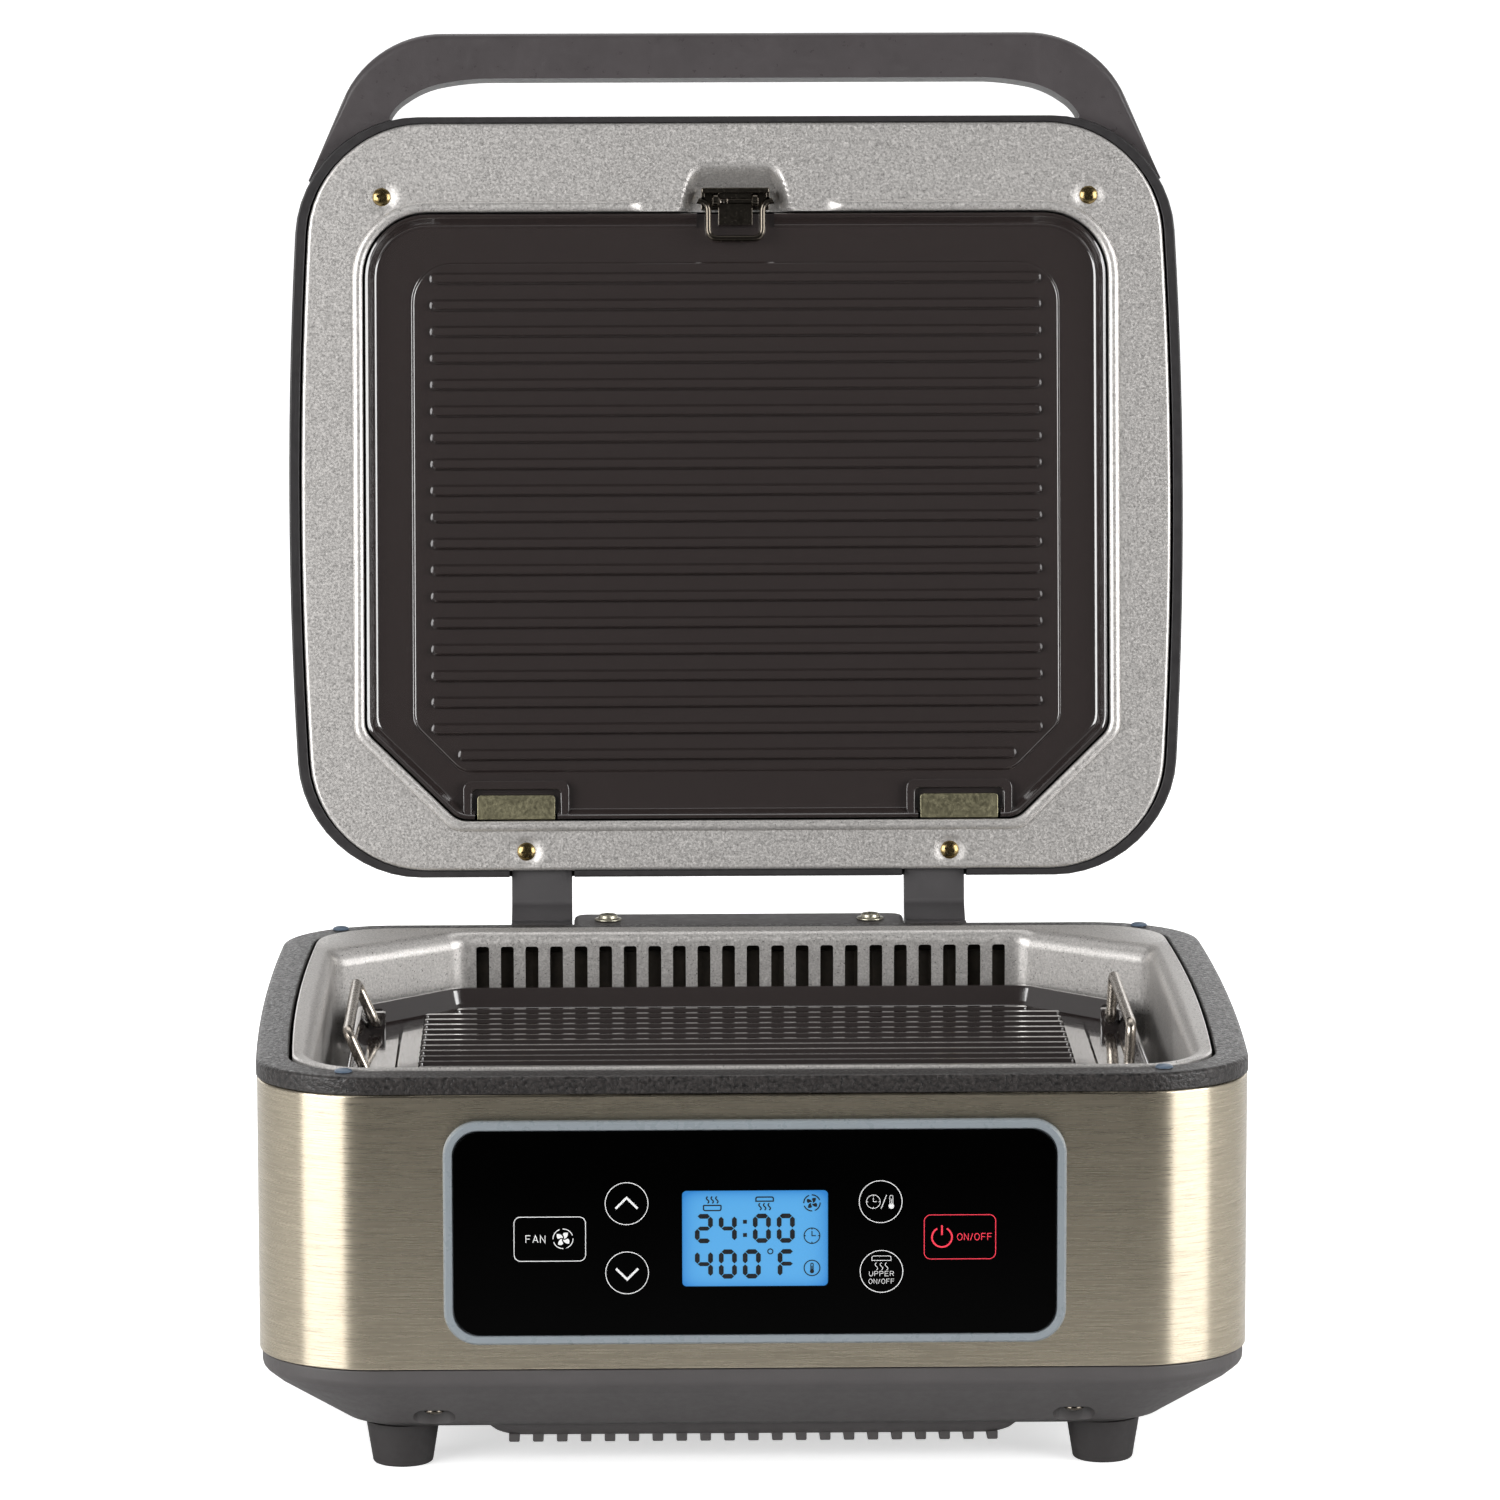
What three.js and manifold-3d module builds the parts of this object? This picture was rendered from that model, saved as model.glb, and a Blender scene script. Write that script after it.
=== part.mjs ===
// Electric contact grill with a hinged lid, at its real size in millimetres, +Z up and its front facing -Y.
// Body pieces are drawn about the middle of the body, with Z = 0 under the feet. The lid is drawn
// closed, then turned about the hinge shaft into its open rest position.
import * as THREE from 'three';
import { mergeVertices } from 'three/addons/utils/BufferGeometryUtils.js';
import Module from 'manifold-3d';

const wasm = await Module();
wasm.setup();

// ---------- driving dimensions ----------
const HALF_WIDTH = 180.3;       // body half width at the middle of its crowned sides
const HALF_DEPTH = 155;
const CROWN = 3.8;              // how far each side bows out
const CORNER = 40;              // body corner radius in plan
const RIM_TOP = 150;
const STEEL_LOW = 43.6;
const STEEL_HIGH = 143.2;
const BELLY = 16;               // height of the tub's flat underside
const GAP = 0.3;                // clearance between pieces that rest on each other

const FOOT = { x: 126.9, y: 112, top: 13.3, bottom: 10.8, height: BELLY - GAP };
const BUMPERS = {
  front_left: [-146, -145.5],
  front_right: [146, -145.5],
  rear_left: [-157, 144.5],
  rear_right: [157, 144.5],
};
const WELL = { halfWidth: 158, front: -138, back: 135, corner: 29, cutX: 48, cutY: 41, floor: 109 };
const PLATE = { halfWidth: 149, front: -131, back: 128, corner: 24, cutX: 37, cutY: 39 };
const PLATE_LOW = 118.5;        // underside of the lower plate
const PLATE_TOP = 123.2;        // its cooking face between the ribs
const LOWER_FIELD = { halfWidth: 132, front: -118, back: 109, corner: 14, cutX: 20, cutY: 19 };
const RIB = {
  pitch: 10.57,
  lowerHalf: 123.6,
  upperHalf: 122.2,
  shortHalf: 111.6,
  low: 5,
  high: 2.4,
  height: 2.9,
};
const SLOT = { count: 22, pitch: 9.64, width: 5.06, low: 119, high: 145 };
const BAIL = { x: 141.2, front: -30, back: 71, pivotZ: 126, arm: 18, wire: 4, foot: 9, bend: 4.2 };
const BAIL_LEAN = { left: 24, right: 3 };   // degrees that each wire handle leans outwards
// lugs that hold the wire handles: their thickness, and their gap from the handle's legs
const LUG = { halfWidth: 3.6, thick: 4.6, gap: 4.7 };
const DRAIN = { x: 139, halfWidth: 2.6, front: -22, back: -8 };
const BASE_SCREWS = [[-115, -135], [115, -135], [-115, 126], [115, 126]];
// ridges under the belly, and the air vents between them
const NUB = { count: 21, pitch: 8.65, width: 3.9, low: 8.4, high: 11.3, front: -120, back: 97 };
const VENT = { count: 10, width: 4.2, reach: 42 };
// the sheathed heaters: height of the lower one, its leads' places, and the upper one's height in the lid
const HEATER = { z: 114.4, leads: [-12, 12], tube: 6.4, upperW: 13.4 };

const PANEL = { z: 93.6, width: 221.5, height: 81, corner: 12.5, front: -158.3 };
const GLASS = { width: 214.2, height: 73.8, corner: 9.8, thick: 1.5 };
const LCD = { width: 52.7, height: 35.2, drop: 2.4 };
// middles of the touch keys, from the middle of the panel
const KEYS = [[-72.9, -2.3], [-45.6, 10.3], [-45.5, -14.8], [44.6, 10.5], [44.9, -14.8], [72.8, -2.3]];
const INLET = { x: 118, z: 70 };

const HINGE = { y: 175.5, z: 140, shaft: 3 };
const ARM = { inner: 66.3, outer: 90.4 };   // the hinge arms, from the middle outwards
const LID_REAR = 147.5;         // closed lid: the line from which its pieces are laid out forwards
const LID_PLANE = 152;          // closed lid: underside of the liner
const LID_OPEN = 98;            // degrees from closed to the open stop
const LID = { halfWidth: 178.5, rear: 151, front: -152.5, corner: 46, crown: 6, height: 46 };
const LINER_EDGE = { x: 5, y: 2.8 };   // the liner's edge, in from the lid's outline
const OPENING = {
  halfWidth: 148.8,
  front: LID_REAR - 262,
  back: LID_REAR - 19,
  corner: 26,
  cutX: 37,
  cutY: 36,
};
const FIELD = {
  halfWidth: 129.3,
  front: LID_REAR - 242,
  back: LID_REAR - 38.5,
  corner: 16,
  cutX: 19,
  cutY: 19,
};
const FIRST_RIB = LID_REAR - 55.8;
const SHORT_RIB = LID_REAR - 45.4;
const TAB = { inner: 73, outer: 104, rear: LID_REAR - 19.6, front: LID_REAR - 29.3 };
const LATCH_POCKET = { halfWidth: 17.4, front: LID_REAR - 280.4, sheet: 1.2 };
// the lid's screws: x and the distance in front of LID_REAR
const LID_SCREWS = {
  front_left: [-141, 268],
  front_right: [141, 268],
  rear_left: [-84.5, 6.8],
  rear_right: [84.5, 6.8],
};
const LATCH = { y: LID_REAR - 266, z: LID_PLANE - 0.8, wire: 2.4, half: 12, reach: 15.5 };
// the lid handle: its span above the liner's underside, and its plan from root to front edge
const HANDLE = { low: 6, high: 30, root: 170.3, tip: 145.4, front: 333.8, corner: 43 };
// one half of the finger gap's outline: x, distance in front of LID_REAR, radius
const FINGER_GAP = [[138.5, 299, 1], [135.5, 304.5, 16], [124, 312.3, 36], [106, 315.5, 100]];

const FAN = { x: 0, y: 20, radius: 46, shroud: 60 };
const ORIGIN_Y = 59.1;          // the middle of the open grill's depth, from the middle of the body

// ---------- materials ----------
function material(name, color, roughness, metalness) {
  return new THREE.MeshStandardMaterial({ name, color, roughness, metalness });
}

const MATERIALS = {
  steel: material('brushed_steel', 0x9a9384, 0.38, 0.9),
  aluminium: material('satin_aluminium', 0xb4b3b0, 0.42, 0.9),
  nonstick: material('nonstick_coating', 0x3a3636, 0.42, 0.2),
  plastic: material('black_plastic', 0x3e3a3c, 0.55, 0),
  shell: material('lid_plastic', 0x262424, 0.45, 0),
  rubber: material('foot_rubber', 0x4b4849, 0.8, 0),
  silicone: material('bumper_silicone', 0x4b5f73, 0.5, 0),
  bezel: material('bezel_grey', 0x78808a, 0.4, 0.3),
  glass: material('black_glass', 0x050506, 0.08, 0),
  lcd: material('lcd_blue', 0x5aaae8, 0.3, 0),
  board: material('circuit_board', 0x1f5a35, 0.6, 0),
  plated: material('plated_steel', 0x827d64, 0.4, 0.9),
  element: material('heater_sheath', 0x55504c, 0.6, 0.7),
  brass: material('brass_screw', 0xb09a58, 0.35, 0.9),
};

// ---------- solids ----------
function solidOf(geometry) {
  geometry.deleteAttribute('normal');
  geometry.deleteAttribute('uv');
  const merged = mergeVertices(geometry, 1e-4);
  return new wasm.Manifold(new wasm.Mesh({
    numProp: 3,
    vertProperties: new Float32Array(merged.attributes.position.array),
    triVerts: new Uint32Array(merged.index.array),
  }));
}

function geometryOf(solid) {
  const mesh = solid.getMesh();
  const geometry = new THREE.BufferGeometry();
  geometry.setAttribute('position', new THREE.BufferAttribute(mesh.vertProperties, 3));
  geometry.setIndex(new THREE.BufferAttribute(mesh.triVerts, 1));
  geometry.computeVertexNormals();
  return geometry;
}

const join = (...solids) => solids.reduce((whole, next) => whole.add(next));
const cut = (solid, ...tools) => tools.reduce((rest, tool) => rest.subtract(tool), solid);

// A polygon of [x, y, radius] corners, each radius turned into an arc.
function rounded(corners, steps = 6) {
  return corners.flatMap(([x, y, radius], i) => {
    const here = new THREE.Vector2(x, y);
    if (!radius) return [here];
    const before = new THREE.Vector2(...corners.at(i - 1)).sub(here).normalize();
    const after = new THREE.Vector2(...corners[(i + 1) % corners.length]).sub(here).normalize();
    const half = Math.acos(before.dot(after)) / 2;
    const centre = before.clone().add(after).normalize().multiplyScalar(radius / Math.sin(half)).add(here);
    const start = before.clone().multiplyScalar(radius / Math.tan(half)).add(here).sub(centre);
    const sweep = (Math.PI - 2 * half) * Math.sign(after.cross(before));
    const count = Math.max(1, Math.round(steps * Math.abs(sweep) / (Math.PI / 2)));
    return Array.from({ length: count + 1 }, (_, k) =>
      start.clone().rotateAround(new THREE.Vector2(), sweep * k / count).add(centre));
  });
}

// A rectangle about (0, cy) with rounded corners.
function rectangle(halfWidth, front, back, radius, steps = 6) {
  return rounded([
    [-halfWidth, front, radius],
    [halfWidth, front, radius],
    [halfWidth, back, radius],
    [-halfWidth, back, radius],
  ], steps);
}

// Bows the two sides of an outline outwards by crown.
function crowned(points, halfWidth, front, back, crown) {
  const middle = (front + back) / 2;
  const half = (back - front) / 2;
  return points.map((p) => {
    const along = (p.y - middle) / half;
    return new THREE.Vector2(p.x * (1 + crown / halfWidth * (1 - along * along)), p.y);
  });
}

// Adds points along the two long sides, so that a crown has something to bend.
function crownedRectangle(halfWidth, front, back, radius, crown, steps = 6) {
  const straight = halfWidth - crown;
  const sides = 4;
  const points = rectangle(straight, front, back, radius, steps);
  const low = front + radius;
  const high = back - radius;
  const side = (sign) => Array.from({ length: sides - 1 }, (_, k) =>
    new THREE.Vector2(sign * straight, low + (high - low) * (k + 1) / sides));
  const corner = points.length / 4;
  const all = [
    ...points.slice(0, 2 * corner),
    ...side(1),
    ...points.slice(2 * corner),
    ...side(-1).reverse(),
  ];
  return crowned(all, straight, front, back, crown);
}

// The body's plan shape, drawn in from its outer face by insetX and insetY.
function bodyOutline(insetX, insetY = insetX, steps = 5) {
  const radius = Math.max(12, CORNER - Math.min(insetX, insetY));
  const halfWidth = HALF_WIDTH - insetX;
  const halfDepth = HALF_DEPTH - insetY;
  return crownedRectangle(halfWidth, -halfDepth, halfDepth, radius, CROWN, steps);
}

// The plan shape shared by the well, the opening and the plates: round in front, cut off behind.
function plateOutline({ halfWidth, front, back, corner, cutX, cutY }, inset = 0, steps = 5) {
  const w = halfWidth - inset;
  const low = front + inset;
  const high = back - inset;
  const radius = Math.max(3, corner - inset);
  const slack = inset * 0.55;
  const x = w - cutX + slack;
  const y = high - cutY + slack;
  return rounded([
    [-w, low, radius],
    [w, low, radius],
    [w, y, 9],
    [x, high, 9],
    [-x, high, 9],
    [-w, y, 9],
  ], steps);
}

function ellipse(x, y, a, b, count = 12) {
  return Array.from({ length: count }, (_, k) => {
    const angle = 2 * Math.PI * k / count;
    return new THREE.Vector2(x + a * Math.cos(angle), y + b * Math.sin(angle));
  });
}

function shifted(points, x) {
  return points.map((p) => new THREE.Vector2(p.x + x, p.y));
}

// A closed solid through rings of equal length, each [outline, height].
function loft(rings) {
  const count = rings[0][0].length;
  const positions = rings.flatMap(([outline, z]) => outline.flatMap((p) => [p.x, p.y, z]));
  const index = [];
  for (let r = 0; r + 1 < rings.length; r += 1) {
    for (let i = 0; i < count; i += 1) {
      const a = r * count + i;
      const b = r * count + (i + 1) % count;
      index.push(a, b, b + count, a, b + count, a + count);
    }
  }
  const last = (rings.length - 1) * count;
  THREE.ShapeUtils.triangulateShape(rings[0][0], []).forEach(([a, b, c]) => index.push(c, b, a));
  THREE.ShapeUtils.triangulateShape(rings.at(-1)[0], []).forEach(([a, b, c]) => {
    index.push(last + a, last + b, last + c);
  });
  const geometry = new THREE.BufferGeometry();
  geometry.setAttribute('position', new THREE.Float32BufferAttribute(positions, 3));
  geometry.setIndex(index);
  return solidOf(geometry);
}

const slab = (outline, low, high) => loft([[outline, low], [outline, high]]);

function box(x0, x1, y0, y1, z0, z1) {
  const geometry = new THREE.BoxGeometry(x1 - x0, y1 - y0, z1 - z0);
  geometry.translate((x0 + x1) / 2, (y0 + y1) / 2, (z0 + z1) / 2);
  return solidOf(geometry);
}

// A round bar between two heights, or along X or Y.
function bar(radius, low, high, { x = 0, y = 0, z = 0, along = 'z', sides = 16 } = {}) {
  const geometry = new THREE.CylinderGeometry(radius, radius, high - low, sides);
  if (along === 'z') geometry.rotateX(Math.PI / 2);
  if (along === 'x') geometry.rotateZ(-Math.PI / 2);
  const middle = (low + high) / 2;
  if (along === 'z') geometry.translate(x, y, middle);
  if (along === 'x') geometry.translate(middle, y, z);
  if (along === 'y') geometry.translate(x, middle, z);
  return solidOf(geometry);
}

// A turned piece on the Z axis from [radius, height] points, bottom first.
function turned(profile, x = 0, y = 0, sides = 16) {
  const geometry = new THREE.LatheGeometry(profile.map((p) => new THREE.Vector2(...p)), sides);
  geometry.rotateX(Math.PI / 2);
  geometry.translate(x, y, 0);
  return solidOf(geometry);
}

// A round wire through points, its corners turned to arcs of the given radius.
function wire(points, radius, diameter, { sides = 8, bendSteps = 3 } = {}) {
  const stops = [points[0]];
  points.slice(1, -1).forEach((point, i) => {
    const back = points[i].clone().sub(point).setLength(radius).add(point);
    const on = points[i + 2].clone().sub(point).setLength(radius).add(point);
    const bend = new THREE.QuadraticBezierCurve3(back, point, on);
    stops.push(...bend.getPoints(bendSteps));
  });
  stops.push(points.at(-1));
  return sweep(stops, diameter / 2, sides);
}

// A tube through every stop in turn, closed at both ends.
function sweep(stops, radius, sides = 8) {
  const lengths = [0];
  stops.slice(1).forEach((stop, i) => lengths.push(lengths[i] + stop.distanceTo(stops[i])));
  const curve = new THREE.Curve();
  curve.getPoint = (t, target = new THREE.Vector3()) => {
    const place = t * (stops.length - 1);
    const i = Math.min(stops.length - 2, Math.floor(place));
    return target.lerpVectors(stops[i], stops[i + 1], place - i);
  };
  curve.getPointAt = curve.getPoint;
  curve.getTangentAt = (t, target = new THREE.Vector3()) => {
    const place = t * (stops.length - 1);
    const i = Math.round(place);
    const before = stops[Math.max(0, i - 1)];
    const after = stops[Math.min(stops.length - 1, i + 1)];
    return target.subVectors(after, before).normalize();
  };
  const section = new THREE.Shape(Array.from({ length: sides }, (_, k) => {
    const angle = 2 * Math.PI * (k + 0.5) / sides;
    return new THREE.Vector2(radius * Math.cos(angle), radius * Math.sin(angle));
  }));
  return solidOf(new THREE.ExtrudeGeometry(section, { steps: stops.length - 1, extrudePath: curve }));
}

// Evenly spaced positions about 0.
function row(count, pitch) {
  return Array.from({ length: count }, (_, k) => (k - (count - 1) / 2) * pitch);
}

function place(parent, name, solid, look) {
  const mesh = new THREE.Mesh(geometryOf(solid), look.clone());
  mesh.name = name;
  parent.add(mesh);
  return mesh;
}

// ---------- body ----------
function baseTub() {
  const ring = (x, y, z) => [bodyOutline(x, y), z];
  const foot = [ring(38, 30, BELLY), ring(31, 24, 18.4), ring(6, 5, 33.5)];
  const outer = loft([...foot, ring(0.9, 0.9, 37.6), ring(0.9, 0.9, 43.2)]);
  const inner = loft([ring(40.5, 32.5, 18.8), ring(33, 26, 21.2), ring(8.6, 7.6, 36.4), ring(4, 4, 44)]);
  const nubs = row(NUB.count, NUB.pitch).map((x) =>
    box(x - NUB.width / 2, x + NUB.width / 2, NUB.front, NUB.back, NUB.low, NUB.high));
  const vents = row(VENT.count, NUB.pitch).map((x) =>
    box(x - VENT.width / 2, x + VENT.width / 2, FAN.y - VENT.reach, FAN.y + VENT.reach, 10, 15));
  const belly = loft([[rectangle(94, NUB.front, NUB.back, 10, 3), 11],
    [rectangle(99, NUB.front - 4, NUB.back + 5, 12, 3), BELLY + 1]]);
  const hollow = slab(rectangle(91.5, NUB.front + 2.5, NUB.back - 2.5, 8, 3), 13.4, 20);
  const boss = ([x, y]) => slab(ellipse(x, y, 10.5, 8.5), 17, 30);
  const pocket = ([x, y]) => slab(ellipse(x, y, 7.6, 5.6), 10, 25);
  const hole = ([x, y]) => bar(2.2, 20, 40, { x, y, sides: 8 });
  const shell = cut(join(outer, belly), inner, hollow);
  const bosses = BASE_SCREWS.map((at) => boss(at).intersect(outer));
  return cut(join(shell, ...bosses, ...nubs), ...BASE_SCREWS.map(pocket), ...BASE_SCREWS.map(hole), ...vents);
}

// A cross-recessed pan head screw driven upwards, its head's flat side at z.
function screw(x, y, z, { head = 3.75, shank = 1.7, length = 12 } = {}) {
  const pin = [[0, -length], [shank, -length], [shank, 0]];
  const body = turned([...pin, [head, 0], [head, 0.8], [head * 0.6, 1.8], [0, 1.8]], 0, 0, 8);
  const slotA = box(-head * 0.55, head * 0.55, -0.45, 0.45, 0.9, 3);
  const slotB = box(-0.45, 0.45, -head * 0.55, head * 0.55, 0.9, 3);
  const whole = cut(body, slotA, slotB);
  return whole.rotate([180, 0, 0]).translate([x, y, z]);
}

function steelWrap() {
  const outer = slab(bodyOutline(0, 0, 8), STEEL_LOW, STEEL_HIGH);
  const inner = slab(bodyOutline(1.2, 1.2, 8), STEEL_LOW - 1, STEEL_HIGH + 1);
  const window = box(-104, 104, -160, -150, PANEL.z - 34, PANEL.z + 34);
  const socket = box(INLET.x - 14.6, INLET.x + 14.6, 150, 160, INLET.z - 10.8, INLET.z + 10.8);
  return cut(outer, inner, window, socket);
}

function topRim() {
  const ring = (inset, z) => [bodyOutline(inset), z];
  const outer = loft([ring(-0.3, STEEL_HIGH + GAP), ring(-0.3, 148.6), ring(0.9, RIM_TOP)]);
  const skirt = loft([ring(1.6, 137), ring(1.6, 145)]);
  const throat = loft([ring(11.3, 130), ring(11.3, 160)]);
  const behindSkirt = cut(loft([ring(3.6, 130), ring(3.6, STEEL_HIGH + GAP + 1.4)]), throat);
  return cut(join(outer, skirt), throat, behindSkirt);
}

function baseLiner() {
  const flange = slab(bodyOutline(11.7, 11.7), 147.4, 148.9);
  const wall = slab(plateOutline(WELL, -1.3), WELL.floor, 148.9);
  const well = slab(plateOutline(WELL, 0), WELL.floor + 1.3, RIM_TOP + 1);
  const drain = slab(rectangle(122, -100, 98, 14, 3), WELL.floor - 1, WELL.floor + 3);
  const slots = row(SLOT.count, SLOT.pitch).map((x) =>
    box(x - SLOT.width / 2, x + SLOT.width / 2, WELL.back - 2, WELL.back + 3, SLOT.low, SLOT.high));
  const leads = HEATER.leads.map((y) => bar(3.9, 155, 162, { y, z: HEATER.z, along: 'x', sides: 8 }));
  return cut(join(flange, wall), well, drain, ...slots, ...leads);
}

// A flat sheathed heater: its two leads leave through the right-hand wall, and it loops under the plate.
function heater(z, lead, halfWidth, front, back) {
  const [a, b] = HEATER.leads;
  const near = halfWidth - 34;
  const far = -halfWidth + 50;
  const step = 40;
  const route = [
    [lead, a],
    [near, a],
    [near, front + step],
    [far, front + step],
    [far, front],
    [-halfWidth, front],
    [-halfWidth, back],
    [far, back],
    [far, back - step],
    [near, back - step],
    [near, b],
    [lead, b],
  ];
  const points = route.map(([x, y]) => new THREE.Vector3(x, y, z));
  return wire(points, 12, HEATER.tube, { sides: 6, bendSteps: 2 });
}

// The grid of ribs, with one shorter rib behind it.
function ribs(count, halfLength, foot, crest) {
  const grid = Array.from({ length: count }, (_, k) =>
    rib(FIRST_RIB - k * RIB.pitch, halfLength, foot, crest));
  return join(...grid, rib(SHORT_RIB, RIB.shortHalf, foot, crest));
}

// One grill rib along X with round ends, from its foot to its narrower crest.
function rib(y, halfLength, foot, crest) {
  const rings = [[stadium(y, halfLength, RIB.low), foot], [stadium(y, halfLength, RIB.high), crest]];
  return loft(crest > foot ? rings : rings.reverse());
}

function stadium(y, halfLength, width, steps = 3) {
  const end = (sign) => Array.from({ length: steps + 1 }, (_, k) => {
    const angle = Math.PI * (k / steps - 0.5) + (sign < 0 ? Math.PI : 0);
    const x = sign * (halfLength - RIB.low / 2) + width / 2 * Math.cos(angle);
    return new THREE.Vector2(x, y + width / 2 * Math.sin(angle));
  });
  return [...end(1), ...end(-1)];
}

function lowerPlate() {
  const body = slab(plateOutline(PLATE), PLATE_LOW, 130);
  const dish = loft([[plateOutline(PLATE, 5), PLATE_TOP - 1], [plateOutline(PLATE, 2.6), 131]]);
  const edge = (inset, z) => [plateOutline(LOWER_FIELD, inset), z];
  const field = loft([edge(0, PLATE_TOP - 2), edge(0.8, PLATE_TOP)]);
  const grid = ribs(20, RIB.lowerHalf, PLATE_TOP - 0.5, PLATE_TOP + RIB.height);
  const sides = [-BAIL.x, BAIL.x];
  const ends = [BAIL.front - LUG.gap - LUG.thick, BAIL.back + LUG.gap];
  const lugs = sides.flatMap((x) => ends.map((y) =>
    box(x - LUG.halfWidth, x + LUG.halfWidth, y, y + LUG.thick, PLATE_TOP - 2, BAIL.pivotZ + LUG.halfWidth)));
  const bores = sides.map((x) =>
    bar(BAIL.wire / 2 + 0.35, BAIL.front - 20, BAIL.back + 20, { x, z: BAIL.pivotZ, along: 'y', sides: 8 }));
  const drains = [-DRAIN.x, DRAIN.x].map((x) =>
    box(x - DRAIN.halfWidth, x + DRAIN.halfWidth, DRAIN.front, DRAIN.back, PLATE_LOW - 1, PLATE_TOP + 1));
  return cut(join(cut(body, dish), field, grid, ...lugs), ...bores, ...drains);
}

// A wire handle of the lower plate, leaning outwards by lean degrees about its pivots.
function bail(side, lean) {
  const angle = THREE.MathUtils.degToRad(lean);
  const up = new THREE.Vector3(side * Math.sin(angle), 0, Math.cos(angle)).multiplyScalar(BAIL.arm);
  const pivot = (y) => new THREE.Vector3(side * BAIL.x, y, BAIL.pivotZ);
  const { front, back, foot, bend } = BAIL;
  const route = [
    pivot(front - foot),
    pivot(front),
    pivot(front).add(up),
    pivot(back).add(up),
    pivot(back),
    pivot(back + foot),
  ];
  return wire(route, bend, BAIL.wire);
}

function dripTray() {
  const ring = (inset, z) => [rectangle(116 - inset, -94 + inset, 92 - inset, 14, 4), z];
  const outer = loft([ring(8, 86), ring(5, 88), ring(0, 104.5)]);
  const inner = loft([ring(9.6, 87.2), ring(6.6, 89), ring(1.4, 105)]);
  const flange = slab(rectangle(119, -97, 95, 16, 4), 103.3, 104.5);
  const lip = cut(flange, slab(rectangle(115, -93, 91, 13, 4), 100, 106));
  return cut(join(outer, lip), inner);
}

// Upright outline of the control panel, turned from plan into the front face.
function panelSlab(width, height, radius, near, far, steps = 5) {
  const outline = rectangle(width / 2, -height / 2, height / 2, radius, steps);
  return slab(outline, -far, -near).rotate([90, 0, 0]).translate([0, 0, PANEL.z]);
}

// The same with its front edge chamfered.
function chamferedPanel(width, height, radius, near, far) {
  const edge = 0.9;
  const ring = (inset, y) =>
    [rectangle(width / 2 - inset, -height / 2 + inset, height / 2 - inset, radius - inset, 5), y];
  const body = loft([ring(0, -far), ring(0, -near - edge), ring(edge, -near)]);
  return body.rotate([90, 0, 0]).translate([0, 0, PANEL.z]);
}

function controlBezel() {
  const face = PANEL.front;
  const back = panelSlab(PANEL.width, PANEL.height, PANEL.corner, face + 2, -155.3);
  const front = chamferedPanel(PANEL.width, PANEL.height, PANEL.corner, face, face + 2);
  const recess = panelSlab(GLASS.width + 0.7, GLASS.height + 0.7, GLASS.corner, face - 1, face + 2);
  const collar = panelSlab(206.6, 66.6, 3, -155.4, -148);
  const hole = panelSlab(202, 62, 3, -160, -140);
  return cut(join(back, cut(front, recess), collar), hole);
}

function controlGlass() {
  const near = PANEL.front + 0.3;
  const glass = panelSlab(GLASS.width, GLASS.height, GLASS.corner - 0.35, near, near + GLASS.thick);
  const z = PANEL.z - LCD.drop;
  const w = LCD.width / 2 + 0.3;
  const h = LCD.height / 2 + 0.3;
  return cut(glass, box(-w, w, -160, -150, z - h, z + h));
}

function lcdModule() {
  const z = PANEL.z - LCD.drop;
  const w = LCD.width / 2;
  const h = LCD.height / 2;
  const cell = box(-w, w, PANEL.front + 0.5, -150, z - h, z + h);
  const frame = box(-w - 3, w + 3, -154, -150, z - h - 3, z + h + 3);
  return join(cell, frame);
}

function controlBoard() {
  const z = PANEL.z;
  const board = box(-98, 98, -149.6, -148, z - 29, z + 29);
  const chip = box(-12, 12, -148.1, -145.6, z - 9, z + 9);
  const header = box(50, 72, -148.1, -141, z - 24, z - 17);
  const pads = KEYS.map(([x, rise]) => bar(5, -152.5, -149.5, { x, z: z + rise, along: 'y', sides: 12 }));
  return join(board, chip, header, ...pads);
}

function powerBoard() {
  const board = box(72, 132, -70, 70, 27, 28.6);
  const transformer = box(82, 110, -58, -26, 28.5, 56);
  const relay = box(114, 128, -54, -26, 28.5, 44);
  const relayB = box(114, 128, -18, 10, 28.5, 44);
  const terminals = box(84, 96, 30, 64, 28.5, 38);
  const can = (x, y, radius, top) => bar(radius, 28.5, top, { x, y, sides: 12 });
  const cans = [can(92, -8, 7, 50), can(92, 10, 5, 44), can(120, 34, 9, 40)];
  return join(board, transformer, relay, relayB, terminals, ...cans);
}

// ---------- fan and duct ----------
function fanShroud() {
  const { x, y, shroud } = FAN;
  const shell = bar(shroud, 17.5, 62, { x, y, sides: 24 });
  const inside = bar(shroud - 2, 15, 60, { x, y, sides: 24 });
  const inlet = bar(34, 58, 65, { x, y, sides: 16 });
  const ring = cut(bar(24, 19, 21, { x, y, sides: 16 }), bar(16, 15, 25, { x, y, sides: 16 }));
  const spoke = cut(box(-shroud + 1, shroud - 1, -3, 3, 19, 21), bar(20, 15, 25, { sides: 16 }));
  const spokes = [0, 60, 120].map((angle) => spoke.rotate([0, 0, angle]).translate([x, y, 0]));
  return join(cut(shell, inside, inlet), ring, ...spokes);
}

function fanMotor() {
  const { x, y } = FAN;
  const can = [[0, 21.3], [16, 21.3], [17.5, 22.8], [17.5, 37], [15.5, 39], [4, 39]];
  const shaft = [[4, 40.5], [1.5, 40.5], [1.5, 54], [0, 54]];
  return turned([...can, ...shaft], x, y, 20);
}

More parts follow.
